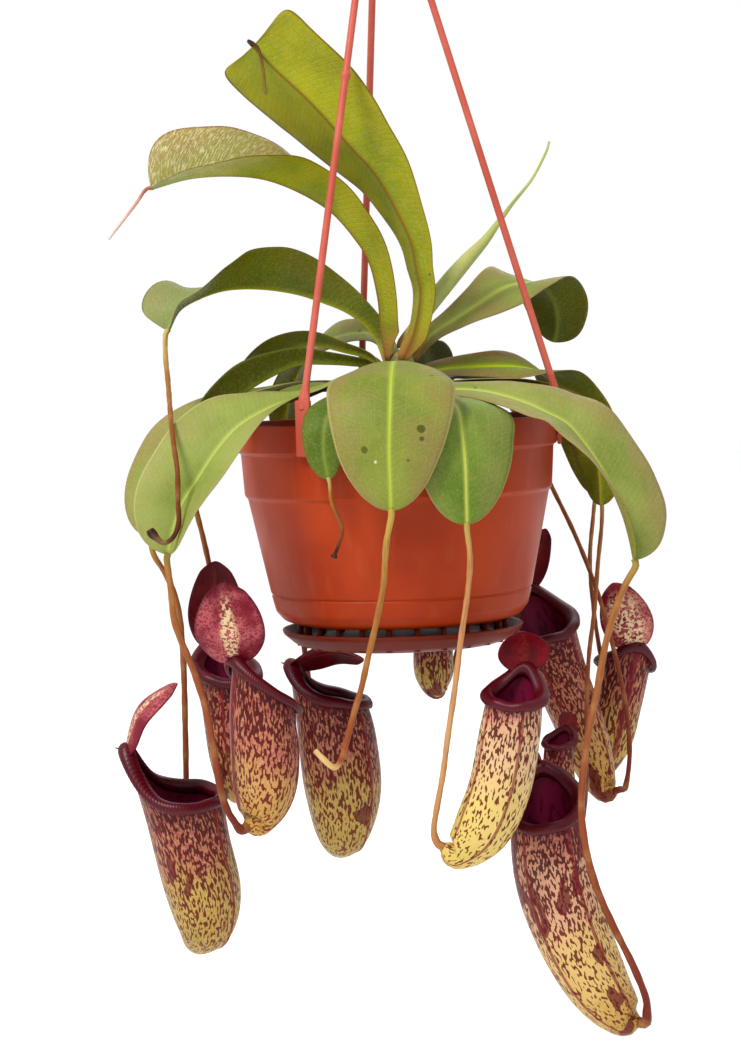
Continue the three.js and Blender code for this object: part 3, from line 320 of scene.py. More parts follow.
# Colours of a leaf's face: its young parts, its old parts, the blush, the midrib and the edge.
LEAF_COLOURS = {
    "leaf_green": [(126, 148, 66), (98, 124, 46), (142, 136, 84), (206, 214, 112), (190, 180, 122)],
    "leaf_fresh": [(150, 162, 104), (112, 126, 62), (156, 146, 96), (172, 178, 96), (120, 112, 60)],
    "leaf_pale": [(160, 172, 96), (136, 152, 72), (164, 150, 96), (196, 206, 116), (206, 196, 150)],
    "leaf_greyed": [(156, 164, 90), (130, 146, 68), (162, 140, 94), (198, 206, 112), (196, 164, 126)],
    "leaf_bronze": [(136, 142, 66), (114, 122, 50), (158, 122, 82), (196, 214, 70), (186, 168, 110)],
    "leaf_spotted": [(142, 150, 72), (120, 132, 56), (154, 130, 86), (186, 204, 92), (196, 180, 124)],
    "leaf_glossy": [(168, 168, 92), (158, 148, 88), (172, 134, 92), (190, 194, 110), (156, 88, 62)],
    "leaf_dark": [(112, 128, 34), (88, 110, 22), (116, 112, 42), (160, 172, 84), (128, 126, 60)],
    "leaf_deep": [(98, 120, 42), (78, 102, 28), (112, 110, 48), (136, 150, 70), (120, 116, 60)],
    "leaf_sunlit": [(142, 156, 40), (112, 130, 26), (150, 130, 60), (206, 214, 112), (170, 140, 70)],
    "leaf_young": [(192, 200, 126), (164, 180, 98), (200, 176, 130), (216, 216, 150), (206, 200, 150)],
    "underside_olive": [(116, 122, 12), (94, 104, 4), (116, 106, 26), (172, 172, 60), (140, 120, 60)],
    "underside_dark": [(106, 108, 12), (84, 92, 6), (96, 92, 22), (136, 140, 50), (96, 96, 40)],
    "underside_glowing": [(168, 168, 4), (132, 144, 2), (168, 146, 24), (134, 106, 16), (128, 88, 30)],
}

# The look of a leaf's upper face and underside. The others are green over olive.
LEAF_LOOKS = {
    "leaf_tall": ("sunlit", "glowing"),
    "leaf_arching": ("glossy", "glowing"),
    "leaf_bowed": ("fresh", "olive"),
    "leaf_left_upper": ("dark", "olive"),
    "leaf_left_dark": ("dark", "dark"),
    "leaf_small_front": ("deep", "olive"),
    "leaf_crown_back": ("dark", "dark"),
    "leaf_back_right": ("dark", "dark"),
    "leaf_back_left": ("greyed", "olive"),
    "leaf_front_left": ("pale", "olive"),
    "leaf_far_left": ("greyed", "olive"),
    "leaf_front": ("spotted", "olive"),
    "leaf_front_right": ("green", "olive"),
    "leaf_right": ("greyed", "glowing"),
    "leaf_right_back": ("bronze", "olive"),
    "leaf_right_high": ("greyed", "dark"),
}

# Marks on the front leaf: how far to the right of its midrib, as seen from the front, how far along
# it, the size and the colour. Each fades out over SPOT_BLUR.
LEAF_SPOTS = [
    (16, 114, 2.2, (74, 78, 22)), (16.5, 119, 1.4, (74, 78, 22)), (-12.5, 125, 1.8, (80, 84, 26)),
    (-7, 131, 0.7, (232, 236, 200)),
]
SPOT_BLUR = 0.9

# What a leaf's face has of its own beside its colours.
LEAF_DETAILS = {
    "leaf_pale": dict(blushing=0.45),
    "leaf_greyed": dict(blushing=0.65),
    "leaf_bronze": dict(blushing=0.85),
    "leaf_spotted": dict(blushing=0.65, spots=LEAF_SPOTS),
    "leaf_glossy": dict(roughness=0.36, coat=0.08, streaks=0.7),
    "underside_olive": dict(coat=0.05, veins=0.2),
    "underside_dark": dict(coat=0.05, veins=0.2),
    "underside_glowing": dict(blushing=0.3, roughness=0.48, coat=0.08, veins=0.2),
}

# Colours up a pitcher's skin from its foot to its mouth, and the level of noise that its dashes and
# its blotches stand above. That of the dashes is given at the foot and at the mouth.
PITCHER_SKINS = {
    "green": dict(dashes=(0.555, 0.47), blotches=0.62, ground=[
        (0, (172, 146, 70)), (0.45, (194, 162, 92)), (0.75, (180, 104, 90)), (1, (140, 46, 56))]),
    "rosy": dict(dashes=(0.56, 0.46), blotches=0.62, ground=[
        (0, (204, 160, 88)), (0.35, (208, 158, 104)), (0.6, (190, 114, 98)), (1, (150, 54, 62))]),
    "striped": dict(dashes=(0.585, 0.485), blotches=0.58, ground=[
        (0, (200, 160, 86)), (0.35, (234, 198, 132)), (0.7, (228, 172, 146)), (1, (180, 94, 90))]),
    "pale": dict(dashes=(0.59, 0.525), blotches=0.68, ground=[
        (0, (226, 202, 118)), (0.35, (240, 214, 136)), (0.75, (238, 198, 156)), (1, (206, 132, 122))]),
}
DASH_COLOURS = [(0, (124, 42, 28)), (0.35, (104, 14, 22)), (1, (66, 4, 16))]

# The look of a pitcher's skin. The others are green.
PITCHER_LOOKS = {
    "pitcher_left": "rosy",
    "pitcher_left_rear": "rosy",
    "pitcher_right_rear": "rosy",
    "pitcher_front": "pale",
    "pitcher_lowest": "striped",
}

# Courses and rings

CORNER_STEPS = 5


def compass(azimuth):
    return np.array([math.cos(math.radians(azimuth)), math.sin(math.radians(azimuth)), 0.0])


def unit(vectors):
    return vectors / np.linalg.norm(vectors, axis=-1, keepdims=True)


def smooth_step(x, low, high):
    t = np.clip((x - low) / (high - low), 0, 1)
    return t * t * (3 - 2 * t)


def course(rows, fractions):
    """A smooth course through rows of numbers, at fractions of its length, and that length."""
    rows = np.array(rows, float)
    ends = np.vstack([2 * rows[0] - rows[1], rows, 2 * rows[-1] - rows[-2]])
    x = np.linspace(0, len(rows) - 1, 24 * len(rows))
    k = np.minimum(x.astype(int), len(rows) - 2)
    t = (x - k)[:, None]
    a, b, c, d = ends[k], ends[k + 1], ends[k + 2], ends[k + 3]
    cubic = (3 * b - a - 3 * c + d) * t ** 3
    many = 0.5 * (2 * b + (c - a) * t + (2 * a - 5 * b + 4 * c - d) * t ** 2 + cubic)
    steps = np.linalg.norm(np.diff(many[:, :3], axis=0), axis=1)
    along = np.concatenate([[0], np.cumsum(steps)])
    want = np.asarray(fractions) * along[-1]
    return np.stack([np.interp(want, along, column) for column in many.T], 1), along[-1]


def headings(points):
    return unit(np.gradient(points[:, :3], axis=0))


def carried(tangents, first):
    """A direction square to the course, carried along it without twisting."""
    sides = []
    side = np.array(first, float)
    for tangent in tangents:
        side = unit(side - side.dot(tangent) * tangent)
        sides.append(side)
    return np.array(sides)


class Shape:
    """Faces with a paint each, and two coordinates at every point that the materials read.

    grown holds two shares from 0 to 1, as a rule how far out or round the surface a place is and how
    far along it. flow holds a place in millimetres that runs along the piece, so that marks follow it.
    """

    def __init__(self):
        self.places = []
        self.grown = []
        self.flow = []
        self.faces = []
        self.paints = []

    def add(self, places, faces, paint, grown=None, flow=None):
        start = len(self.places)
        places = np.asarray(places, float).reshape(-1, 3)
        self.places.extend(places)
        self.grown.extend(np.zeros_like(places) if grown is None else np.reshape(grown, (-1, 3)))
        self.flow.extend(places if flow is None else np.reshape(flow, (-1, 3)))
        self.faces.extend([[start + corner for corner in face] for face in faces])
        self.paints.extend([paint] * len(faces) if np.isscalar(paint) else paint)

    def loft(self, rings, paint, grown=None, flow=None, round_trip=False):
        """Joins rings of points, each closed on itself. round_trip joins the last to the first, and
        without it the two ends are capped."""
        count, size = rings.shape[:2]
        index = np.arange(count * size).reshape(count, size)
        below = index if round_trip else index[:-1]
        above = np.roll(index, -1, 0) if round_trip else index[1:]
        quads = np.stack([below, np.roll(below, -1, 1), np.roll(above, -1, 1), above], -1)
        faces = quads.reshape(-1, 4).tolist()
        paints = [paint] * len(faces) if np.isscalar(paint) else list(np.tile(paint, len(below)))
        if not round_trip:
            faces += [index[0][::-1].tolist(), index[-1].tolist()]
            paints += [paints[0]] * 2
        self.add(rings, faces, paints, grown, flow)

    def make(self, name, materials, node, sharp=None):
        places = np.array(self.places)
        places[:, 2] -= HANG_HEIGHT
        mesh = bpy.data.meshes.new(name)
        mesh.from_pydata((places * MM).tolist(), [], self.faces)
        for key, values in (("grown", self.grown), ("flow", np.array(self.flow) * MM)):
            layer = mesh.attributes.new(key, "FLOAT_VECTOR", "POINT")
            layer.data.foreach_set("vector", np.array(values, np.float32).ravel())
        mesh.polygons.foreach_set("material_index", np.array(self.paints, np.int32))
        for material in materials:
            mesh.materials.append(material)
        work = bmesh.new()
        work.from_mesh(mesh)
        bmesh.ops.recalc_face_normals(work, faces=work.faces)
        work.to_mesh(mesh)
        work.free()
        mesh.shade_smooth()
        if sharp:
            mesh.set_sharp_from_angle(angle=math.radians(sharp))
        piece = bpy.data.objects.new(name, mesh)
        bpy.context.scene.collection.objects.link(piece)
        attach(piece, "root")
        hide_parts(node)


def dress(node, slot, materials, draw, *details, sharp=None):
    """Draws the piece that replaces a node, with one material or a list with one for each paint."""
    shape = Shape()
    draw(shape, *details)
    listed = materials if isinstance(materials, list) else [materials]
    shape.make(f"{node}_fine", listed, node, sharp)


def triples(first, second, third):
    """Three coordinates, each of them a number or an array, as one array of triples."""
    return np.stack(np.broadcast_arrays(first, second, third), -1)


def full_turn(sides):
    return np.linspace(0, 2 * math.pi, sides, endpoint=False)


def rod(shape, rows, sides, count, paint=0, swell=None):
    """A round rod along a course of [x, y, z, radius]."""
    shares = np.linspace(0, 1, count)
    points, length = course(rows, shares)
    tangents = headings(points)
    upright = abs(tangents[0][2]) > 0.9
    side = carried(tangents, (1, 0, 0) if upright else (0, 0, 1))
    up = np.cross(tangents, side)
    turn = full_turn(sides)
    radius = (points[:, 3] * (1 if swell is None else swell(shares)))[:, None]
    outward = side[:, None] * np.cos(turn)[None, :, None] + up[:, None] * np.sin(turn)[None, :, None]
    rings = points[:, None, :3] + radius[..., None] * outward
    along = shares[:, None]
    flow = triples(radius * np.cos(turn), along * length, radius * np.sin(turn))
    shape.loft(rings, paint, triples(0, along, np.zeros(sides)), flow)


def softened(outline, radius):
    """An outline of [radius, z] with each corner rounded off by a short curve."""
    outline = np.array(outline, float)
    points = [outline[0]]
    for before, corner, after in zip(outline[:-2], outline[1:-1], outline[2:]):
        reach = min(radius, np.linalg.norm(before - corner) / 2.2, np.linalg.norm(after - corner) / 2.2)
        start = corner + unit(before - corner) * reach
        end = corner + unit(after - corner) * reach
        for t in np.linspace(0, 1, CORNER_STEPS):
            points.append((1 - t) ** 2 * start + 2 * t * (1 - t) * corner + t * t * end)
    points.append(outline[-1])
    return np.array(points)


def circle(radius, z, turn):
    return triples(radius * np.cos(turn), radius * np.sin(turn), z)


def lathe(shape, outline, sides):
    """Turns an outline of [radius, z] that starts and ends on the axis."""
    shape.loft(circle(outline[1:-1, :1], outline[1:-1, 1:], full_turn(sides)), 0)


def bevelled(work, edge, segments):
    """A bmesh with its edges bevelled, as places and faces."""
    bmesh.ops.bevel(work, geom=work.edges[:], offset=edge, segments=segments, affect="EDGES")
    places = np.array([tuple(vert.co) for vert in work.verts])
    faces = [[vert.index for vert in face.verts] for face in work.faces]
    work.free()
    return places, faces


def box_points(size, edge):
    """A box with bevelled edges, about the origin."""
    work = bmesh.new()
    bmesh.ops.create_cube(work, size=1, matrix=Matrix.Diagonal((*size, 1)))
    return bevelled(work, edge, 2)


# Pot, saucer, hanger and soil

POT_SIDES = 144
HUB_SIDES = 48
SOIL_SIDES = 160
SOIL_RINGS = 44
SOIL_LUMPS = 26
BARK_PIECES = 420
BARK_ROUGHNESS = 0.088
SOIL_CLEARANCE = 0.6
SHOULDER_SIDES = 24
SHOULDER_RINGS = 9
SHOULDER_LENGTH = 13
NUB_AT = 0.6
NUB_HEIGHT = 0.45
STRAND_INSET = 4.6


def pot(shape):
    """The wall steps in below the rim's band and at the shoulder, and has a groove near its foot."""
    foot = -POT_DEPTH
    outline = softened([
        [0, foot], [POT_FOOT_RADIUS, foot],
        [POT_FOOT_RADIUS + 6, foot + 2.2], [POT_FOOT_RADIUS + 10, foot + 7],
        [GROOVE_RADIUS, -GROOVE_DEPTH - 0.9], [GROOVE_RADIUS - 0.7, -GROOVE_DEPTH],
        [GROOVE_RADIUS + 0.4, -GROOVE_DEPTH + 0.9],
        [SHOULDER_RADIUS - 1.6, -SHOULDER_DEPTH - 1.2], [SHOULDER_RADIUS, -SHOULDER_DEPTH + 0.4],
        [RIM_RADIUS - POT_WALL, -RIM_BAND - 1], [RIM_RADIUS, -RIM_BAND], [RIM_RADIUS, 0],
        [RIM_RADIUS - POT_WALL, 0], [RIM_RADIUS - POT_WALL, -RIM_BAND],
        [SHOULDER_RADIUS - POT_WALL - 0.2, -SHOULDER_DEPTH], [GROOVE_RADIUS - POT_WALL, -GROOVE_DEPTH],
        [POT_FOOT_RADIUS + 7, foot + 8], [POT_FOOT_RADIUS, foot + POT_WALL], [0, foot + POT_WALL],
    ], 1.2)
    lathe(shape, outline, POT_SIDES)


def saucer(shape):
    """A shallow dish with small posts round it that reach up to the pot."""
    floor = SAUCER_BASE + 2
    outline = softened([
        [0, SAUCER_BASE], [SAUCER_BASE_RADIUS, SAUCER_BASE], [SAUCER_BASE_RADIUS + 6, SAUCER_BASE + 2],
        [SAUCER_RADIUS - 0.6, SAUCER_TOP - 2.5], [SAUCER_RADIUS, SAUCER_TOP - 0.4],
        [SAUCER_RADIUS - 1, SAUCER_TOP],
        [SAUCER_RADIUS - 2.2, SAUCER_TOP - 0.4], [SAUCER_BASE_RADIUS + 5, floor + 1.6],
        [SAUCER_BASE_RADIUS - 1, floor], [0, floor],
    ], 1.4)
    lathe(shape, outline, POT_SIDES)
    head = -POT_DEPTH - GAP
    for n in range(SAUCER_POSTS):
        azimuth = 360 * (n + 0.5) / SAUCER_POSTS
        x, y, _ = compass(azimuth) * SAUCER_POST_RING
        rod(shape, [[x, y, floor - 1, 1.9], [x, y, floor + 4, 1.6], [x, y, head, 1.4]], sides=12, count=5)


def clip_points():
    """The hook that goes over the rim, as an outline of [radius, z] made CLIP_WIDTH wide."""
    outer = CLIP_OUTSIDE + CLIP_THICK
    inner = CLIP_INSIDE - CLIP_THICK
    hem = -RIM_BAND - 1
    tongue = -SOIL_DEPTH + 5
    saddle = GAP + CLIP_THICK
    outline = [
        (CLIP_OUTSIDE, hem), (outer, hem), (outer, CLIP_RISE), (CLIP_OUTSIDE - 0.6, CLIP_RISE),
        (CLIP_OUTSIDE - 0.6, saddle), (inner, saddle), (inner, tongue), (CLIP_INSIDE, tongue),
        (CLIP_INSIDE, GAP), (CLIP_OUTSIDE, GAP),
    ]
    work = bmesh.new()
    face = work.faces.new([work.verts.new((radius, -CLIP_WIDTH / 2, z)) for radius, z in outline])
    wall = bmesh.ops.extrude_face_region(work, geom=[face])["geom"]
    moved = [item for item in wall if isinstance(item, bmesh.types.BMVert)]
    bmesh.ops.translate(work, verts=moved, vec=(0, CLIP_WIDTH, 0))
    bmesh.ops.recalc_face_normals(work, faces=work.faces)
    return bevelled(work, 0.45, 3)


def turned_to(places, azimuth):
    c, s = math.cos(math.radians(azimuth)), math.sin(math.radians(azimuth))
    return np.asarray(places) @ np.array([[c, s, 0], [-s, c, 0], [0, 0, 1]])


def strand(shape, side):
    """A strand with its clip and a shoulder between the two. The left one has a moulding nub."""
    azimuth = STRAND_AZIMUTHS[side]
    places, faces = clip_points()
    shape.add(turned_to(places, azimuth), faces, 0)
    foot = np.array([CLIP_OUTSIDE + CLIP_THICK / 2, 0, CLIP_RISE - 5])
    head = np.array([STRAND_INSET, 0, HUB_BASE + 6])
    ends = turned_to([foot, head], azimuth)
    nub_height = NUB_HEIGHT if side == "left" else 0

    def swell(share):
        return 1 + nub_height * np.exp(-((share - NUB_AT) / 0.006) ** 2)

    rod(shape, [[*end, STRAND_RADIUS] for end in ends], sides=16, count=260, swell=swell)
    rise = head - foot
    turn = full_turn(SHOULDER_SIDES)
    rings = []
    for level in np.linspace(0, 1, SHOULDER_RINGS):
        ease = smooth_step(level, 0, 1)
        half_wide = (CLIP_WIDTH / 2 - 0.3) * (1 - ease) + (STRAND_RADIUS + 0.2) * ease
        half_thick = (CLIP_THICK / 2 - 0.04) * (1 - ease) + (STRAND_RADIUS + 0.2) * ease
        middle = foot + rise / rise[2] * (level * SHOULDER_LENGTH)
        boxy = 0.55 * (1 - ease) + ease
        wide = np.sign(np.cos(turn)) * np.abs(np.cos(turn)) ** boxy * half_wide
        thick = np.sign(np.sin(turn)) * np.abs(np.sin(turn)) ** boxy * half_thick
        rings.append(triples(middle[0] + thick, middle[1] + wide, middle[2]))
    shape.loft(turned_to(rings, azimuth), 0)


def hanger_hook(shape):
    """The hub that the strands plug into, with the hook that stands on it."""
    z = HOOK_CENTRE
    top = HUB_BASE + HUB_HEIGHT
    rows = [[0, 0, top - 3], [0, 0, top + 2], [5, 0, z - HOOK_BEND], [11, 0, z - 7]]
    for azimuth in range(0, 181, 30):
        x, rise, _ = compass(azimuth) * HOOK_BEND
        rows.append([x, 0, z + rise])
    rows += [[-HOOK_BEND - 1, 0, z - 6], [-HOOK_BEND - 5, 0, z - 11]]

    def rounded_end(share):
        return np.sqrt(np.clip(1 - np.clip((share - 0.975) / 0.025, 0, 0.97) ** 2, 0, 1))

    rod(shape, [row + [HOOK_ROD] for row in rows], sides=20, count=110, swell=rounded_end)
    hub = softened([
        [0, HUB_BASE], [HUB_RADIUS - 1, HUB_BASE], [HUB_RADIUS, HUB_BASE + 1.5], [HUB_RADIUS, top - 4],
        [HUB_RADIUS - 4, top], [3, top], [0, top],
    ], 1.5)
    lathe(shape, hub, HUB_SIDES)


def soil(shape, rng):
    """A lumpy top on the potting mix, with bark lying in it, over the rest that fills the pot."""
    floor = POT_WALL + GAP - POT_DEPTH
    brim = RIM_RADIUS - POT_WALL - SOIL_CLEARANCE
    turn = full_turn(SOIL_SIDES)
    lumps = [(rng.uniform(0.05, 0.45), *rng.uniform(0, 2 * math.pi, 2)) for _ in range(SOIL_LUMPS)]

    def height(x, y):
        total = 2.0 * (1 - (x * x + y * y) / brim ** 2)
        for pace, way, phase in lumps:
            total = total + 0.32 * np.sin(pace * (x * math.cos(way) + y * math.sin(way)) + phase)
        return -SOIL_DEPTH + total

    below = [(POT_FOOT_RADIUS - SOIL_CLEARANCE, floor), (GROOVE_RADIUS - POT_WALL - 1, -GROOVE_DEPTH),
             (SHOULDER_RADIUS - POT_WALL - 1.2, -SHOULDER_DEPTH)]
    rings = [circle(radius, z, turn) for radius, z in below]
    for radius in np.linspace(brim, 1, SOIL_RINGS):
        z = height(radius * np.cos(turn), radius * np.sin(turn))
        rings.append(circle(radius, z, turn))
    shape.loft(np.array(rings), 0)
    for _ in range(BARK_PIECES):
        size = (rng.uniform(4, 13), rng.uniform(3, 7), rng.uniform(1.2, 3))
        places, faces = box_points(size, 0.35)
        places = places * (1 + BARK_ROUGHNESS * rng.standard_normal(places.shape))
        radius = (brim - 9) * math.sqrt(rng.uniform(0.012, 1))
        way = rng.uniform(0, 360)
        x, y, _ = compass(way) * radius
        tilt = Matrix.Rotation(rng.uniform(-0.4, 0.4), 3, "X")
        tilt = tilt @ Matrix.Rotation(rng.uniform(-0.3, 0.3), 3, "Y")
        tilt = Matrix.Rotation(rng.uniform(0, 6.3), 3, "Z") @ tilt
        places = places @ np.array(tilt).T + [x, y, height(x, y) + 0.4]
        tone = np.tile([*rng.uniform(0, 1, 2), 0], (len(places), 1))
        shape.add(places, faces, 0, tone)


# Stem and leaves

LEAF_THICK = 0.9
RIB_THICK = 1.7
BASE_HALF = 2.2
TIP_HALF = 1
BASE_SINK = 1.3
LEAF_ROWS = 76
LEAF_COLUMNS = 27
LEAF_SKIN = 0.36
LEAF_ARCH = 0.05
LEAF_WAVE = 0.011
WAVE_LENGTHS = (26, 43, 71)
FOLD_SOFTNESS = 0.8
FLOW_SHIFT = 400
SPEAR_ROWS = 120
SPEAR_SIDES = 32


def stem_radius(height):
    levels, radii = zip(*STEM)
    return float(np.interp(height, levels, radii))


def stem(shape):
    """The stem with a ring where each old leaf came off."""
    rows = [[*STEM_AT, z, radius] for z, radius in STEM]

    def swell(share):
        return 1 + 0.05 * np.maximum(np.sin(share * 2 * math.pi * 15), 0) ** 3 + 0.02 * np.sin(share * 90)

    rod(shape, rows, sides=40, count=130, swell=swell)


def leaf_frames(looks, count):
    """Points along the midrib, from the stem's surface to the tip and closer together near the tip,
    with the way along the leaf, the way across it, the way that its face looks, and the change in its
    fold there."""
    azimuth, height = looks["at"]
    way = compass(azimuth)
    x, y, z, *turns = looks["rib"][0]
    ahead = unit(np.array([x - STEM_AT[0], y - STEM_AT[1], z - height]) - way * STEM_RADIUS)
    out = stem_radius(height) + GAP * 1.5 + LEAF_THICK * 1.3 * abs(ahead[2])
    first = [STEM_AT[0] + way[0] * out, STEM_AT[1] + way[1] * out, height, *turns]
    shares = 1 - (1 - np.linspace(0, 1, count)) ** 1.4
    points, length = course([first, *looks["rib"]], shares)
    along = headings(points)
    start, end = looks["heading"]
    level = np.array([compass(start + (end - start) * share + 90) for share in shares])
    side = unit(level - along * np.sum(level * along, axis=1)[:, None])
    up = np.cross(along, side)
    turn = np.radians(points[:, 3])[:, None]
    across = side * np.cos(turn) + up * np.sin(turn)
    face = up * np.cos(turn) - side * np.sin(turn)
    return shares, length, points[:, :3], along, across, face, points[:, 4:].sum(axis=1)


def leaf_half(looks, shares, length):
    """The half-width along the leaf, and how far the leaf has opened out from its base there."""
    peak = looks["peak"]
    swell = np.clip(shares / peak, 0, 1) ** 1.5
    rising = looks["petiole"] + (1 - looks["petiole"]) * swell * swell * (3 - 2 * swell)
    falling = np.sqrt(np.clip(1 - (np.clip(shares - peak, 0, 1) / (1 - peak)) ** looks["blunt"], 0, 1))
    grown = looks["width"] * np.where(shares > peak, falling, rising)
    ease = np.clip(shares * length / 14, 0, 1)
    return np.maximum(BASE_HALF + (grown - BASE_HALF) * ease, TIP_HALF), ease


def leaf(shape, looks, rng):
    """A thin blade with a raised midrib, two softly arched halves and a slightly waved margin."""
    shares, length, middle, along, side, up, bend = leaf_frames(looks, LEAF_ROWS)
    half, ease = leaf_half(looks, shares, length)
    middle = middle - along * (BASE_SINK * (1 - smooth_step(shares, 0, 0.05)))[:, None]
    step = np.linspace(1, -1, LEAF_COLUMNS)
    v = np.sign(step) * np.abs(step) ** 1.35
    folds = (looks["fold"], looks.get("curl", looks["fold"]))
    start, end = (np.where(v > 0, *sides)[None, :] for sides in folds)
    fold = np.radians(start + (end - start) * shares[:, None] + bend[:, None]) * ease[:, None]
    reach = half[:, None] * v[None, :]
    late = np.clip((shares - looks["peak"]) / (1 - looks["peak"]), 0, 1)[:, None]
    ahead = looks.get("lobe", 0) * (reach / looks["width"]) ** 2 * late * (2 - late)
    soft = np.sqrt(reach ** 2 + FOLD_SOFTNESS) - math.sqrt(FOLD_SOFTNESS)
    wave = np.zeros_like(reach)
    for pace in WAVE_LENGTHS:
        phase = np.where(v > 0, *rng.uniform(0, 2 * math.pi, 2))[None, :]
        wave += np.sin(2 * math.pi * shares[:, None] * length / pace + phase)
    fade = smooth_step(shares, 0.12, 0.3)[:, None]
    wave *= LEAF_WAVE * half[:, None] * fade * np.abs(v)[None, :] ** 2.5
    arch = LEAF_ARCH * half[:, None] * np.sin(math.pi * np.abs(v))[None, :] * ease[:, None]
    lift = soft * np.sin(fold) + wave + arch
    slim = np.minimum(half / 3, 1)[:, None]
    rib = np.exp(-(reach / 0.75) ** 2)
    furrow = np.exp(-(reach / 2.4) ** 2)
    skin = LEAF_SKIN * (1 - 0.6 * np.abs(v)[None, :] ** 9)
    top = lift + skin + (0.32 * rib - 0.28 * furrow) * slim
    low = lift - skin - (RIB_THICK - LEAF_THICK) * np.exp(-(reach / 1.5) ** 2) * slim
    spread = middle[:, None] + side[:, None] * (reach * np.cos(fold))[..., None]
    spread = spread + along[:, None] * ahead[..., None]
    upper = spread + up[:, None] * top[..., None]
    lower = spread + up[:, None] * low[..., None]
    rings = np.concatenate([upper, lower[:, ::-1]], axis=1)
    grown = triples(np.abs(v), shares[:, None], 0)
    flow = triples(reach, shares[:, None] * length, rng.uniform(0, FLOW_SHIFT))
    shape.loft(rings, two_faces(LEAF_COLUMNS, 0, 1), mirrored(grown), mirrored(flow))


def mirrored(values):
    return np.concatenate([values, values[:, ::-1]], axis=1)


def two_faces(columns, upper, lower):
    """The paints round a ring that runs over a blade's upper face and back over its lower one."""
    return np.array([upper] * (columns - 1) + [lower] * (columns + 1))


def spear(shape):
    """The youngest leaf, still rolled, with the edge of the roll winding round it."""
    shares = np.linspace(0, 1, SPEAR_ROWS)
    points, length = course(SPEAR, shares)
    tangents = headings(points)
    side = carried(tangents, (1, 0, 0))
    up = np.cross(tangents, side)
    turn = full_turn(SPEAR_SIDES)
    twist = turn[None, :] - 3.2 * shares[:, None]
    curl = 1 - 0.2 * np.exp(-((np.mod(twist, 2 * math.pi) - 0.35) / 0.3) ** 2)
    radius = points[:, 3][:, None] * curl
    rings = points[:, None, :3] + side[:, None] * (radius * np.cos(turn))[..., None]
    rings = rings + up[:, None] * (radius * np.sin(turn))[..., None]
    grown = triples(0.5, shares[:, None], np.zeros(SPEAR_SIDES))
    flow = triples(4 + radius * np.cos(turn), shares[:, None] * length, radius * np.sin(turn))
    shape.loft(rings, 0, grown, flow)


# Tendrils

def tendril(shape, name):
    """Starts at its leaf's tip, in line with it, and ends in line with its pitcher's foot."""
    looks = TENDRILS[name]
    middle, along = leaf_frames(LEAVES[looks["leaf"]], LEAF_ROWS)[2:4]
    rows = [list(middle[-1] + along[-1] * reach) for reach in (-1, 3)]
    rows += looks["path"]
    owner = [pitcher for pitcher in PITCHERS.values() if pitcher["tendril"] == name]
    if owner:
        points, tangents, _, _ = pitcher_frames(owner[0], 40)
        rows += [list(points[0, :3] + tangents[0] * reach) for reach in (-4, 0.5)]
    start, end = looks["radius"]
    radii = np.linspace(start, end, len(rows))
    ending = DRIED.get(name)

    def swell(share):
        rough = 1 + 0.05 * np.sin(share * 61) + 0.03 * np.sin(share * 140)
        if ending is None:
            return rough * (1 + 0.5 * smooth_step(share, 0.93, 1))
        return rough + (1.1 * np.exp(-((share - 0.985) / 0.02) ** 2) if ending == "withered" else 0)

    rod(shape, [[*row, radius] for row, radius in zip(rows, radii)], sides=14, count=150, swell=swell)


# Pitchers

PITCHER_WALL = 1.6
PITCHER_SIDES = 96
PITCHER_ROWS = 72
INSIDE_ROWS = 46
INSIDE_FLOOR = 0.27
PITCHER_SHIFT = 900
WING_AT = 38
WING_HEIGHT = 1.1
NERVE_HEIGHT = 0.45
LIP_SIDES = 300
LIP_RIBS = 100
RIB_HEIGHT = 0.075
LID_ROWS = 44
LID_COLUMNS = 27
LID_ARCH = 0.16
LID_HOLLOW = 0.22
LID_KEEL = 0.7
LID_ROUNDING = 0.86

# The spur behind the lid, as how far out from the lid's root and the radius there.
LID_SPUR = [(-1, 0.9), (2, 0.7), (5, 0.4), (6.5, 0.2)]

# The lip's section, as how far out it is from the mouth's edge and how far above it.
LIP_SECTION = [(-1.9, -4.2), (-3.1, -2.6), (-3.6, -0.6), (-2.9, 1.1), (-1.5, 2.3), (0.2, 2.7), (1.7, 2.2),
               (2.8, 1.0), (3.3, -0.5), (3.0, -1.9), (2.1, -2.7), (1.2, -2.3), (1.3, -1.2), (0.8, -0.4),
               (-0.4, -0.6), (-1.4, -2.2)]


def pitcher_frames(looks, count):
    """Points up the pitcher's axis with their radius, the way up it, to its back and to its side."""
    points, _ = course(looks["axis"], np.linspace(0, 1, count))
    along = headings(points)
    back = compass(looks["back"])
    back = unit(back - along * (along @ back)[:, None])
    return points, along, back, np.cross(along, back)


def pitcher_ring(looks, frame, radius, turn, lift, shift=0):
    """A ring that lift raises obliquely towards the back, as the mouth is."""
    point, along, back, side = frame
    toward = np.cos(turn)
    neck = looks["neck"] * ((1 + toward) / 2) ** 7
    rise = lift * (looks["rise"] * toward + neck) + shift
    ring = point[:3] + back * (radius * toward)[:, None] + side * (radius * np.sin(turn))[:, None]
    return ring + along * rise[:, None]


def mouth(looks):
    """The last of a pitcher's frames, where its lip and its lid are."""
    _, along, back, side = pitcher_frames(looks, PITCHER_ROWS)
    return np.array(looks["axis"][-1], float), along[-1], back[-1], side[-1]


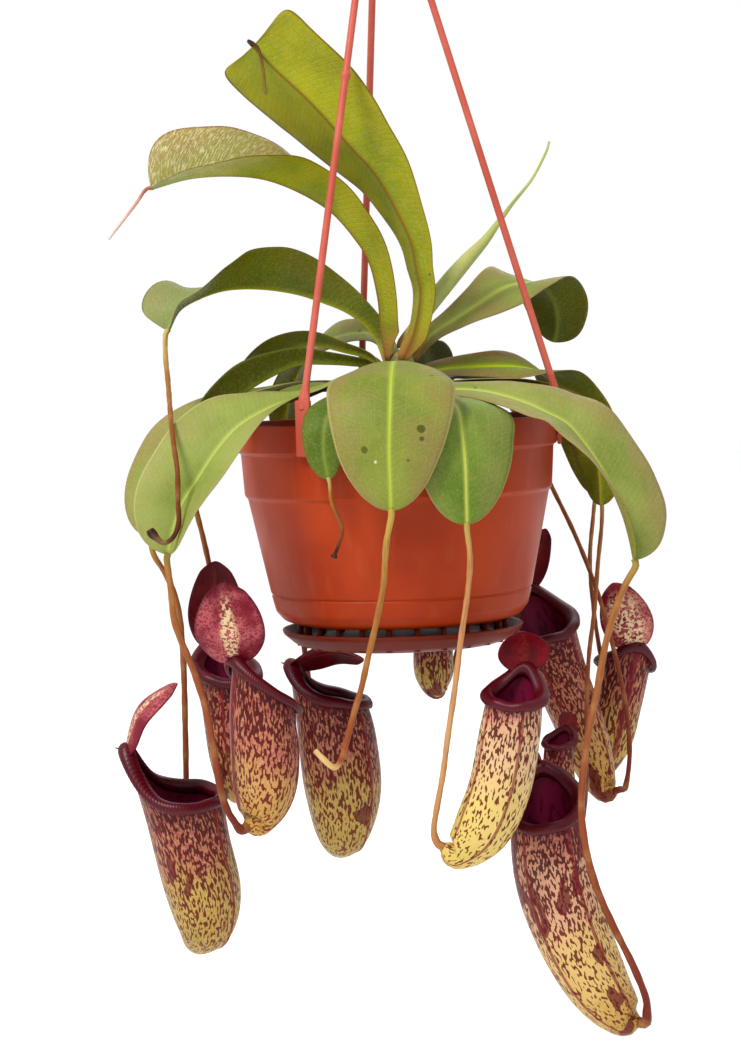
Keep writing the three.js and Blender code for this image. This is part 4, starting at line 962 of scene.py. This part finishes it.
def cup(shape, looks, rng):
    """The wall of a pitcher, with two wings down its front and a nerve down its back."""
    shares = np.linspace(0, 1, PITCHER_ROWS)
    points, along, back, side = pitcher_frames(looks, PITCHER_ROWS)
    frames = list(zip(points, along, back, side))
    _, length = course(looks["axis"], [0, 1])
    turn = full_turn(PITCHER_SIDES)
    degrees = np.degrees(np.abs((turn + math.pi) % (2 * math.pi) - math.pi))
    wing = np.exp(-((degrees - (180 - WING_AT)) / 3.2) ** 2)
    nerve = np.exp(-(degrees / 5) ** 2)
    phase = rng.uniform(0, 2 * math.pi, 4)
    outer, inner = [], []
    for share, frame in zip(shares, frames):
        radius = frame[0][3]
        body = smooth_step(share, 0.02, 0.2)
        dents = 0.012 * np.sin(2 * turn + phase[0] + 5 * share)
        dents = dents + 0.008 * np.sin(3 * turn + phase[1] - 9 * share)
        ridges = (WING_HEIGHT * wing * (1 - 0.4 * share) + NERVE_HEIGHT * nerve) * body
        reach = radius * (1 + dents * body) + ridges
        outer.append(pitcher_ring(looks, frame, reach, turn, share ** 3))
    rim = frames[-1]
    outer.append(pitcher_ring(looks, rim, np.full_like(turn, rim[0][3] - 0.4), turn, 1, 0.9))
    shares_in = np.linspace(1, INSIDE_FLOOR, INSIDE_ROWS)
    for share in shares_in:
        row = share * (PITCHER_ROWS - 1)
        low = int(min(row, PITCHER_ROWS - 2))
        mix = row - low
        frame = [a * (1 - mix) + b * mix for a, b in zip(frames[low], frames[low + 1])]
        reach = np.full_like(turn, frame[0][3] - PITCHER_WALL + 0.2)
        inner.append(pitcher_ring(looks, frame, reach, turn, share ** 3))
    up = np.concatenate([shares, [1], shares_in])[:, None]
    radius = np.interp(up, shares, points[:, 3])
    across = radius * np.sin(turn) + rng.uniform(0, PITCHER_SHIFT)
    flow = triples(radius * np.cos(turn), up * length, across)
    shape.loft(np.array(outer + inner), 0, triples(degrees / 180, up, 0), flow)
    outside = len(outer) * PITCHER_SIDES
    shape.paints[outside:] = [1] * (len(shape.paints) - outside)
    shape.paints[-2] = 0


def lip(shape, looks, rng):
    """The rolled lip round the mouth, with a fine rib at each of its teeth."""
    frame = mouth(looks)
    edge = frame[0][3]
    turn = full_turn(LIP_SIDES)
    toward = (1 + np.cos(turn)) / 2
    ribs = 0.5 + 0.5 * np.cos(turn * LIP_RIBS)
    phase = rng.uniform(0, 2 * math.pi)
    ripple = 0.35 * np.sin(turn * 7 + phase) * (1 - toward)
    size = min(1, edge / 15) * (1 + 0.25 * toward)
    grow = 1 + RIB_HEIGHT * ribs
    rings = []
    for out, rise in LIP_SECTION:
        radius = edge + (out * grow + ripple) * size
        rings.append(pitcher_ring(looks, frame, radius, turn, 1, rise * grow * size + ripple))
    grown = triples(ribs, np.zeros((len(LIP_SECTION), 1)), 0)
    shape.loft(np.array(rings), 2, grown, round_trip=True)


def lid(shape, looks, rng):
    """The lid stands on the neck, arched along and across, with a keel under it and a curled tip."""
    frame = point, along, back, _ = mouth(looks)
    root = pitcher_ring(looks, frame, np.array([point[3] - 0.4]), np.array([0.0]), 1, -1)[0]
    reach = np.array(looks["lid"]["reach"], float)
    length = np.linalg.norm(reach)
    ahead = unit(reach)
    face = np.array(looks["lid"]["looks"], float)
    face = unit(face - face.dot(ahead) * ahead)
    across = np.cross(ahead, face)
    v = np.linspace(1, -1, LID_COLUMNS)
    upper, lower, marks = [], [], []
    phase = rng.uniform(0, 2 * math.pi, 2)
    for share in 1 - (1 - np.linspace(0, 1, LID_ROWS)) ** 1.6:
        spread = math.sin(math.pi * min(0.1 + 0.84 * share ** 0.85, 1)) ** 0.7
        spread *= math.sqrt(1 - (max(share - LID_ROUNDING, 0) / (1 - LID_ROUNDING)) ** 2)
        half = max(looks["lid"]["width"] * spread, 0.6)
        arch = -LID_ARCH * length * math.sin(math.pi * share)
        edge = 0.035 * half * np.abs(v) ** 3 * np.sin(share * 11 + phase[0] + np.sign(v) * phase[1])
        curl = -0.1 * half * smooth_step(share, 0.86, 1)
        keel = LID_KEEL * np.exp(-(half * v / 1.2) ** 2)
        keel = keel * smooth_step(share, 0, 0.1) * smooth_step(1 - share, 0, 0.2)
        middle = root + ahead * length * share
        place = middle + across * (half * v * 0.96)[:, None]
        place = place + face * (arch + half * LID_HOLLOW * v * v + edge + curl)[:, None]
        thick = 0.5 * (1 - 0.5 * np.abs(v) ** 6)
        upper.append(place - face * thick[:, None])
        lower.append((place + face * (thick + keel)[:, None])[::-1])
        marks.append(triples(np.abs(v), share, 0))
    rings = np.concatenate([upper, lower], axis=1)
    flow = rings - root + np.array([0, 0, rng.uniform(0, PITCHER_SHIFT)])
    shape.loft(rings, two_faces(LID_COLUMNS, 3, 4), mirrored(np.array(marks)), flow)
    spur_way = unit(back + 0.5 * along)
    spur = [[*(root + spur_way * out), radius] for out, radius in LID_SPUR]
    rod(shape, spur, sides=8, count=10, paint=2)


def pitcher(shape, looks, rng):
    cup(shape, looks, rng)
    lip(shape, looks, rng)
    lid(shape, looks, rng)


# Materials

# The white surroundings light everything from all sides and pale it, so the colours that go into the
# shaders are darker and richer than the ones that are meant to be seen.
DEPTH = 0.58
RICHNESS = 1.16
COAT_ROUGHNESS = 0.35
SIDE_VEINS = 2100
LONG_VEINS = 12.6


def linear(colour):
    """An sRGB colour from 0 to 255 in the linear values that the shaders take."""
    shares = [channel / 255 for channel in colour]
    values = [s / 12.92 if s <= 0.04045 else ((s + 0.055) / 1.055) ** 2.4 for s in shares]
    grey = sum(values) / 3
    return (*(DEPTH * max(grey + (value - grey) * RICHNESS, 0) for value in values), 1.0)


class Paint:
    """A procedural material, built up from small node calls."""

    def __init__(self, name, roughness=0.5, specular=0.5, coat=0):
        self.material = bpy.data.materials.new(name)
        self.material.use_nodes = True
        self.nodes = self.material.node_tree.nodes
        self.links = self.material.node_tree.links
        self.shader = self.nodes["Principled BSDF"]
        for key, value in (("Roughness", roughness), ("Specular IOR Level", specular),
                           ("Coat Weight", coat), ("Coat Roughness", COAT_ROUGHNESS)):
            self.shader.inputs[key].default_value = value

    def feed(self, socket, value):
        if isinstance(value, bpy.types.NodeSocket):
            self.links.new(value, socket)
        else:
            socket.default_value = value

    def node(self, kind, *values, **named):
        """A new node, with a value or a link for each of its first inputs and of its named ones."""
        node = self.nodes.new(f"ShaderNode{kind}")
        for socket, value in zip(node.inputs, values):
            self.feed(socket, value)
        for name, value in named.items():
            self.feed(node.inputs[name], value)
        return node

    def read(self, key):
        node = self.node("Attribute")
        node.attribute_name = key
        return node.outputs["Vector"]

    def coordinates(self):
        """The two shares in grown, and flow."""
        first, second, _ = self.parts(self.read("grown"))
        return first, second, self.read("flow")

    def parts(self, vector):
        return tuple(self.node("SeparateXYZ", vector).outputs)

    def place(self, x, y, z):
        return self.node("CombineXYZ", x, y, z).outputs[0]

    def maths(self, kind, a, b=0.0):
        node = self.node("Math", a, b)
        node.operation = kind
        return node.outputs[0]

    def plus(self, a, b):
        return self.maths("ADD", a, b)

    def minus(self, a, b):
        return self.maths("SUBTRACT", a, b)

    def times(self, a, b):
        return self.maths("MULTIPLY", a, b)

    def stretch(self, vector, scale):
        node = self.node("VectorMath", vector, scale)
        node.operation = "MULTIPLY"
        return node.outputs[0]

    def noise(self, vector, scale, detail=2.0, distortion=0.0):
        node = self.node("TexNoise", Vector=vector, Scale=scale, Detail=detail, Distortion=distortion)
        return node.outputs["Fac"]

    def cells(self, vector, scale):
        return self.node("TexVoronoi", Vector=vector, Scale=scale).outputs["Distance"]

    def step(self, value, low, high, start=0.0, end=1.0):
        node = self.node("MapRange", value, low, high, start, end)
        node.interpolation_type = "SMOOTHSTEP"
        return node.outputs[0]

    def mix(self, share, a, b):
        node = self.node("Mix", share)
        node.data_type = "RGBA"
        for socket, value in ((node.inputs[6], a), (node.inputs[7], b)):
            self.feed(socket, linear(value) if isinstance(value, tuple) else value)
        return node.outputs[2]

    def layer(self, base, colour, value, low, high, start=0.0, end=1.0):
        """Lays a colour over the base, from start to end of it as the value goes from low to high."""
        return self.mix(self.step(value, low, high, start, end), base, colour)

    def ramp(self, value, stops):
        node = self.node("ValToRGB", value)
        band = node.color_ramp
        band.interpolation = "EASE"
        while len(band.elements) < len(stops):
            band.elements.new(0.5)
        for element, (at, colour) in zip(band.elements, stops):
            element.position = at
            element.color = linear(colour)
        return node.outputs[0]

    def bump(self, height, distance, strength):
        node = self.node("Bump", Strength=strength, Distance=distance, Height=height)
        self.links.new(node.outputs[0], self.shader.inputs["Normal"])

    def finish_white(self):
        self.shader.inputs["Base Color"].default_value = (1.0, 1.0, 1.0, 1.0)
        return self.material

    def finish(self, colour, roughness=None):
        self.links.new(colour, self.shader.inputs["Base Color"])
        if roughness is not None:
            self.links.new(roughness, self.shader.inputs["Roughness"])
        return self.material


def plastic_paint(name, colour, shade, dust, roughness):
    """Moulded plastic with slow changes of tone, water marks running down and a fine grain."""
    paint = Paint(name, roughness=roughness, specular=0.14)
    place = paint.read("flow")
    slow = paint.noise(place, 14, 3)
    runs = paint.noise(paint.stretch(place, (1, 1, 0.12)), 160, 3)
    grain = paint.noise(place, 2600, 2)
    base = paint.mix(paint.step(slow, 0.35, 0.68), colour, shade)
    base = paint.layer(base, dust, runs, 0.56, 0.74, 0, 0.16)
    base = paint.layer(base, shade, grain, 0.4, 0.62, 0, 0.12)
    paint.bump(paint.plus(paint.times(grain, 0.4), runs), 0.00012, 0.5)
    return paint.finish(base, paint.step(slow, 0.3, 0.7, roughness - 0.06, roughness + 0.08))


def soil_paint():
    paint = Paint("potting_mix", roughness=0.95, specular=0.2)
    tone, tint, place = paint.coordinates()
    coarse = paint.noise(place, 260, 4)
    fine = paint.noise(place, 1400, 3)
    base = paint.mix(paint.step(coarse, 0.3, 0.7), (38, 27, 20), (86, 62, 44))
    bark = paint.mix(tone, (92, 60, 38), (52, 36, 27))
    base = paint.layer(base, bark, tint, 0.0, 0.02)
    base = paint.layer(base, (126, 98, 70), fine, 0.5, 0.75, 0, 0.5)
    paint.bump(paint.plus(coarse, fine), 0.0012, 0.9)
    return paint.finish(base)


def stem_paint():
    paint = Paint("stem_tissue", roughness=0.6)
    _, up, flow = paint.coordinates()
    mottle = paint.noise(flow, 180, 3)
    stops = [(0, (70, 50, 36)), (0.62, (110, 84, 52)), (0.8, (150, 122, 78)), (1, (158, 150, 84))]
    base = paint.ramp(up, stops)
    base = paint.layer(base, (96, 66, 44), mottle, 0.45, 0.7, 0, 0.6)
    paint.bump(mottle, 0.0006, 0.7)
    return paint.finish(base)


def leaf_paint(name, young, old, blush, midrib, edge, blushing=0.5, roughness=0.5, coat=0.0, veins=0.3,
               streaks=0, spots=()):
    """A waxy blade: mottled green, a pale midrib, fine side veins, a thin pale edge and a few specks."""
    paint = Paint(name, roughness=roughness, specular=0.12, coat=coat)
    out, up, flow = paint.coordinates()
    across, along, _ = paint.parts(flow)
    off = paint.maths("ABSOLUTE", across)
    slow = paint.noise(flow, 36, 3)
    mottle = paint.noise(flow, 210, 4)
    fine = paint.noise(flow, 1100, 3)
    base = paint.mix(paint.step(slow, 0.34, 0.66), young, old)
    base = paint.layer(base, young, mottle, 0.42, 0.68, 0, 0.35)
    patch = paint.plus(paint.times(out, 0.5), paint.noise(flow, 52, 3))
    base = paint.layer(base, blush, patch, 0.62, 1.0, 0, blushing)
    base = paint.layer(base, (225, 228, 190), fine, 0.45, 0.68, 0, 0.09)
    slant = paint.plus(along, paint.times(off, 0.55))
    slant = paint.plus(slant, paint.times(mottle, 0.002))
    vein = paint.step(paint.maths("SINE", paint.times(slant, SIDE_VEINS)), 0.55, 1)
    base = paint.mix(paint.times(vein, veins), base, young)
    lengthwise = paint.maths("ABSOLUTE", paint.maths("SINE", paint.times(out, LONG_VEINS)))
    lengthwise = paint.step(lengthwise, 0.0, 0.14, 1, 0)
    base = paint.mix(paint.times(lengthwise, veins * 0.5), base, midrib)
    width = paint.step(up, 0.0, 1.0, 0.001, 0.0006)
    inside = paint.maths("DIVIDE", off, width)
    base = paint.layer(base, midrib, inside, 1.2, 3.4, 0.35, 0)
    base = paint.layer(base, midrib, inside, 0.75, 1.2, 0.85, 0)
    base = paint.layer(base, edge, out, 0.955, 0.985, 0, 0.75)
    sparse = paint.step(paint.noise(flow, 24, 1), 0.56, 0.62)
    speck = paint.times(paint.step(paint.cells(flow, 95), 0.05, 0.11, 1, 0), sparse)
    base = paint.mix(paint.times(speck, 0.75), base, (92, 78, 34))
    if streaks:
        streak = paint.noise(paint.place(slant, paint.times(off, 0.2), 0), 1300, 2.5)
        far = paint.step(up, 0.5, 0.85)
        streak = paint.times(paint.step(streak, 0.5, 0.6, 0, streaks), far)
        base = paint.mix(streak, base, (226, 220, 178))
    for side, distance, size, colour in spots:
        dx = paint.minus(across, side * MM)
        dy = paint.minus(along, distance * MM)
        apart = paint.maths("SQRT", paint.plus(paint.times(dx, dx), paint.times(dy, dy)))
        apart = paint.plus(apart, paint.times(mottle, 0.001))
        base = paint.layer(base, colour, apart, size * MM, (size + SPOT_BLUR) * MM, 0.85, 0)
    base = paint.layer(base, (176, 118, 78), up, 0.0, 0.13, 0.8, 0)
    height = paint.plus(paint.times(vein, -0.5), paint.times(fine, 0.7))
    height = paint.minus(height, paint.times(lengthwise, 0.5))
    paint.bump(height, 0.00025, 0.6)
    return paint.finish(base, paint.step(mottle, 0.3, 0.7, roughness - 0.07, roughness + 0.1))


def tendril_paint(name, stops):
    paint = Paint(name, specular=0.15)
    _, up, flow = paint.coordinates()
    streaks = paint.noise(paint.stretch(flow, (1, 0.08, 1)), 900, 3)
    patches = paint.noise(flow, 60, 3)
    base = paint.ramp(up, stops)
    base = paint.layer(base, (120, 62, 40), streaks, 0.45, 0.7, 0, 0.45)
    base = paint.layer(base, (212, 178, 116), patches, 0.5, 0.75, 0, 0.4)
    paint.bump(streaks, 0.0003, 0.6)
    return paint.finish(base)


def cup_paint(name, ground, dashes, blotches):
    """Cream to rose skin, with maroon dashes that run along the pitcher and crowd towards its mouth."""
    paint = Paint(name, roughness=0.46, specular=0.14)
    out, up, flow = paint.coordinates()
    slow = paint.noise(flow, 45, 2)
    wander = paint.plus(up, paint.times(paint.minus(slow, 0.5), 0.4))
    base = paint.ramp(wander, ground)
    fine = paint.noise(flow, 800, 3)
    base = paint.layer(base, (240, 214, 160), fine, 0.4, 0.66, 0, 0.3)
    dash = paint.noise(paint.stretch(flow, (1, 0.33, 1)), 900, 0.6, 0.1)
    over = paint.minus(dash, paint.step(wander, 0.1, 0.95, *dashes))
    base = paint.layer(base, paint.ramp(up, DASH_COLOURS), over, -0.012, 0.016, 0, 0.93)
    blot = paint.noise(paint.stretch(flow, (1, 0.5, 1)), 85, 2.5, 0.3)
    base = paint.layer(base, (104, 22, 30), blot, blotches, blotches + 0.02, 0, 0.85)
    wing = paint.maths("ABSOLUTE", paint.minus(out, 1 - WING_AT / 180))
    base = paint.layer(base, (132, 38, 44), wing, 0.012, 0.024, 0.75, 0)
    base = paint.layer(base, (126, 26, 38), out, 0.02, 0.075, 0.85, 0)
    base = paint.layer(base, (104, 30, 44), up, 0.9, 1.0, 0, 0.55)
    paint.bump(paint.plus(dash, paint.times(fine, 0.5)), 0.0004, 0.5)
    return paint.finish(base, paint.step(fine, 0.3, 0.7, 0.36, 0.5))


def inside_paint():
    paint = Paint("pitcher_inside", specular=0.1)
    _, up, flow = paint.coordinates()
    spots = paint.noise(paint.stretch(flow, (1, 0.5, 1)), 300, 1.5)
    stops = [(0.3, (184, 164, 92)), (0.55, (160, 92, 84)), (0.8, (146, 48, 84)), (1, (112, 26, 50))]
    base = paint.ramp(up, stops)
    base = paint.layer(base, (92, 18, 34), spots, 0.54, 0.58, 0, 0.7)
    paint.bump(spots, 0.0004, 0.5)
    return paint.finish(base)


def lip_paint():
    paint = Paint("pitcher_lip", roughness=0.36, specular=0.22)
    ribs, _, flow = paint.coordinates()
    slow = paint.noise(flow, 80, 2)
    base = paint.mix(ribs, (44, 4, 12), (116, 24, 40))
    base = paint.layer(base, (72, 8, 22), slow, 0.4, 0.7, 0, 0.5)
    return paint.finish(base)


def lid_paint(name, field, veins, streak, streaking, band=(0.1, 0.3)):
    """The lid's face: rose or maroon, netted with darker veins, with a pale broken streak down it."""
    paint = Paint(name, specular=0.14)
    out, up, flow = paint.coordinates()
    net = paint.noise(flow, 820, 2.5, 0.8)
    slow = paint.noise(flow, 70, 2)
    base = paint.mix(paint.step(slow, 0.35, 0.65), field, veins)
    base = paint.layer(base, veins, net, 0.48, 0.56, 0, 0.8)
    reach = paint.plus(out, paint.times(paint.minus(slow, 0.5), 0.35))
    middle = paint.times(paint.step(reach, *band, 1, 0), paint.step(up, 0.95, 0.7))
    broken = paint.step(paint.noise(flow, 560, 2, 0.4), 0.46, 0.54, 1, 0)
    shown = paint.times(paint.times(middle, broken), streaking)
    base = paint.mix(shown, base, streak)
    base = paint.layer(base, (92, 20, 36), out, 0.88, 0.98, 0, 0.6)
    paint.bump(net, 0.0005, 0.6)
    return paint.finish(base)


# Making the pieces

def holder():
    terracotta = plastic_paint("terracotta_plastic", (188, 76, 34), (160, 58, 24), (202, 110, 76), 0.42)
    salmon = plastic_paint("strand_plastic", (214, 118, 104), (192, 92, 78), (232, 168, 156), 0.38)
    # The saucer's plastic is the terracotta darkened as painted shade, for the shade that it sits in under
    # the pot.
    shaded = plastic_paint("saucer_plastic_painted_shade", (128, 46, 20), (104, 32, 12), (152, 74, 48), 0.45)
    dress("pot", "terracotta_plastic", terracotta, pot)
    dress("saucer", "terracotta_plastic", shaded, saucer)
    for side in STRAND_AZIMUTHS:
        dress(f"strand_{side}", "strand_plastic", salmon, strand, side, sharp=50)
    dress("hanger_hook", "strand_plastic", salmon, hanger_hook)
    dress("soil", "potting_mix", soil_paint(), soil, np.random.default_rng(SEED), sharp=45)


def foliage():
    paints = {name: leaf_paint(name, *colours, **LEAF_DETAILS.get(name, {}))
              for name, colours in LEAF_COLOURS.items()}
    for number, (name, looks) in enumerate(LEAVES.items()):
        upper, lower = LEAF_LOOKS.get(name, ("green", "olive"))
        faces = [paints[f"leaf_{upper}"], paints[f"underside_{lower}"]]
        dress(name, "leaf_tissue", faces, leaf, looks, np.random.default_rng(SEED + number))
    dress("leaf_spear", "leaf_tissue", paints["leaf_young"], spear)
    dress("stem", "stem_tissue", stem_paint(), stem)


def climbers():
    paints = {look: tendril_paint(f"tendril_{look}", stops) for look, stops in TENDRIL_COLOURS.items()}
    for name in TENDRILS:
        look = "pale" if name == "tendril_front_right" else DRIED.get(name, "live")
        dress(name, "tendril_tissue", paints[look], tendril, name)


def pitchers():
    skins = {look: cup_paint(f"pitcher_{look}", **details) for look, details in PITCHER_SKINS.items()}
    shared = [inside_paint(), lip_paint()]
    rose = lid_paint("lid_outside", (204, 112, 116), (128, 34, 50), (242, 216, 172), 1)
    maroon = lid_paint("lid_underside", (142, 26, 40), (92, 12, 24), (170, 70, 60), 0.2)
    streaked = lid_paint("lid_streaked", (220, 146, 134), (140, 40, 56), (246, 222, 180), 1, (0.35, 0.8))
    for number, (name, looks) in enumerate(PITCHERS.items()):
        skin = skins[PITCHER_LOOKS.get(name, "green")]
        outside = streaked if name == "pitcher_far_right" else rose
        rng = np.random.default_rng(SEED + PITCHER_SEED + number)
        dress(name, "pitcher_tissue", [skin, *shared, outside, maroon], pitcher, looks, rng)


# Floor, light and camera

FLOOR_Z = -0.74
FLOOR_HALF = 9
LIT_PLACE = (0, 0, -0.35)
CAMERA_AT = Vector((0, -1.5, -0.2894))
CAMERA_AIM = Vector((-0.0156, 0, -0.3874))
CAMERA_ROLL = -1.9
PHOTO_HEIGHT = 1047
FOCAL_PIXELS = 2790
SENSOR = 36


def stage():
    corners = [(x * FLOOR_HALF, y * FLOOR_HALF, FLOOR_Z) for x, y in ((-1, -1), (1, -1), (1, 1), (-1, 1))]
    mesh = bpy.data.meshes.new("floor")
    mesh.from_pydata(corners, [], [(0, 1, 2, 3)])
    mesh.materials.append(Paint("pale_floor", roughness=0.9, specular=0.1).finish_white())
    floor = bpy.data.objects.new("floor", mesh)
    bpy.context.scene.collection.objects.link(floor)


def aimed(place, target, roll=0.0):
    """A matrix that stands at place and looks at target, turned about the line of sight."""
    back = (place - target).normalized()
    right = Vector((0, 0, 1)).cross(back).normalized()
    up = back.cross(right)
    turn = math.radians(roll)
    tilted = right * math.cos(turn) + up * math.sin(turn)
    above = back.cross(tilted)
    return Matrix.Translation(place) @ Matrix((tilted, above, back)).transposed().to_4x4()


def light(name, place, size, power, colour):
    data = bpy.data.lights.new(name, "AREA")
    data.shape = "DISK"
    data.size = size
    data.energy = power
    data.color = colour
    lamp = bpy.data.objects.new(name, data)
    lamp.matrix_world = aimed(Vector(place), Vector(LIT_PLACE))
    bpy.context.scene.collection.objects.link(lamp)


def lights_and_camera():
    scene = bpy.context.scene
    scene.view_settings.view_transform = "Standard"
    world = bpy.data.worlds.new("studio")
    world.use_nodes = True
    background = world.node_tree.nodes["Background"]
    background.inputs["Color"].default_value = (1.0, 1.0, 1.0, 1.0)
    background.inputs["Strength"].default_value = 1.0
    scene.world = world
    light("key", (-0.8, -1.1, 1.2), size=0.55, power=42, colour=(1.0, 0.985, 0.95))
    light("fill", (1.6, -1.2, 0.1), size=1.4, power=1, colour=(0.97, 0.98, 1.0))
    light("back", (0.5, 1.5, 0.8), size=1.2, power=6, colour=(1.0, 1.0, 0.98))
    data = bpy.data.cameras.new("camera")
    data.sensor_fit = "VERTICAL"
    data.sensor_height = SENSOR
    data.lens = FOCAL_PIXELS / PHOTO_HEIGHT * SENSOR
    camera = bpy.data.objects.new("camera", data)
    camera.matrix_world = aimed(CAMERA_AT, CAMERA_AIM, CAMERA_ROLL)
    scene.collection.objects.link(camera)
    scene.camera = camera


lights_and_camera()
stage()
holder()
foliage()
climbers()
pitchers()
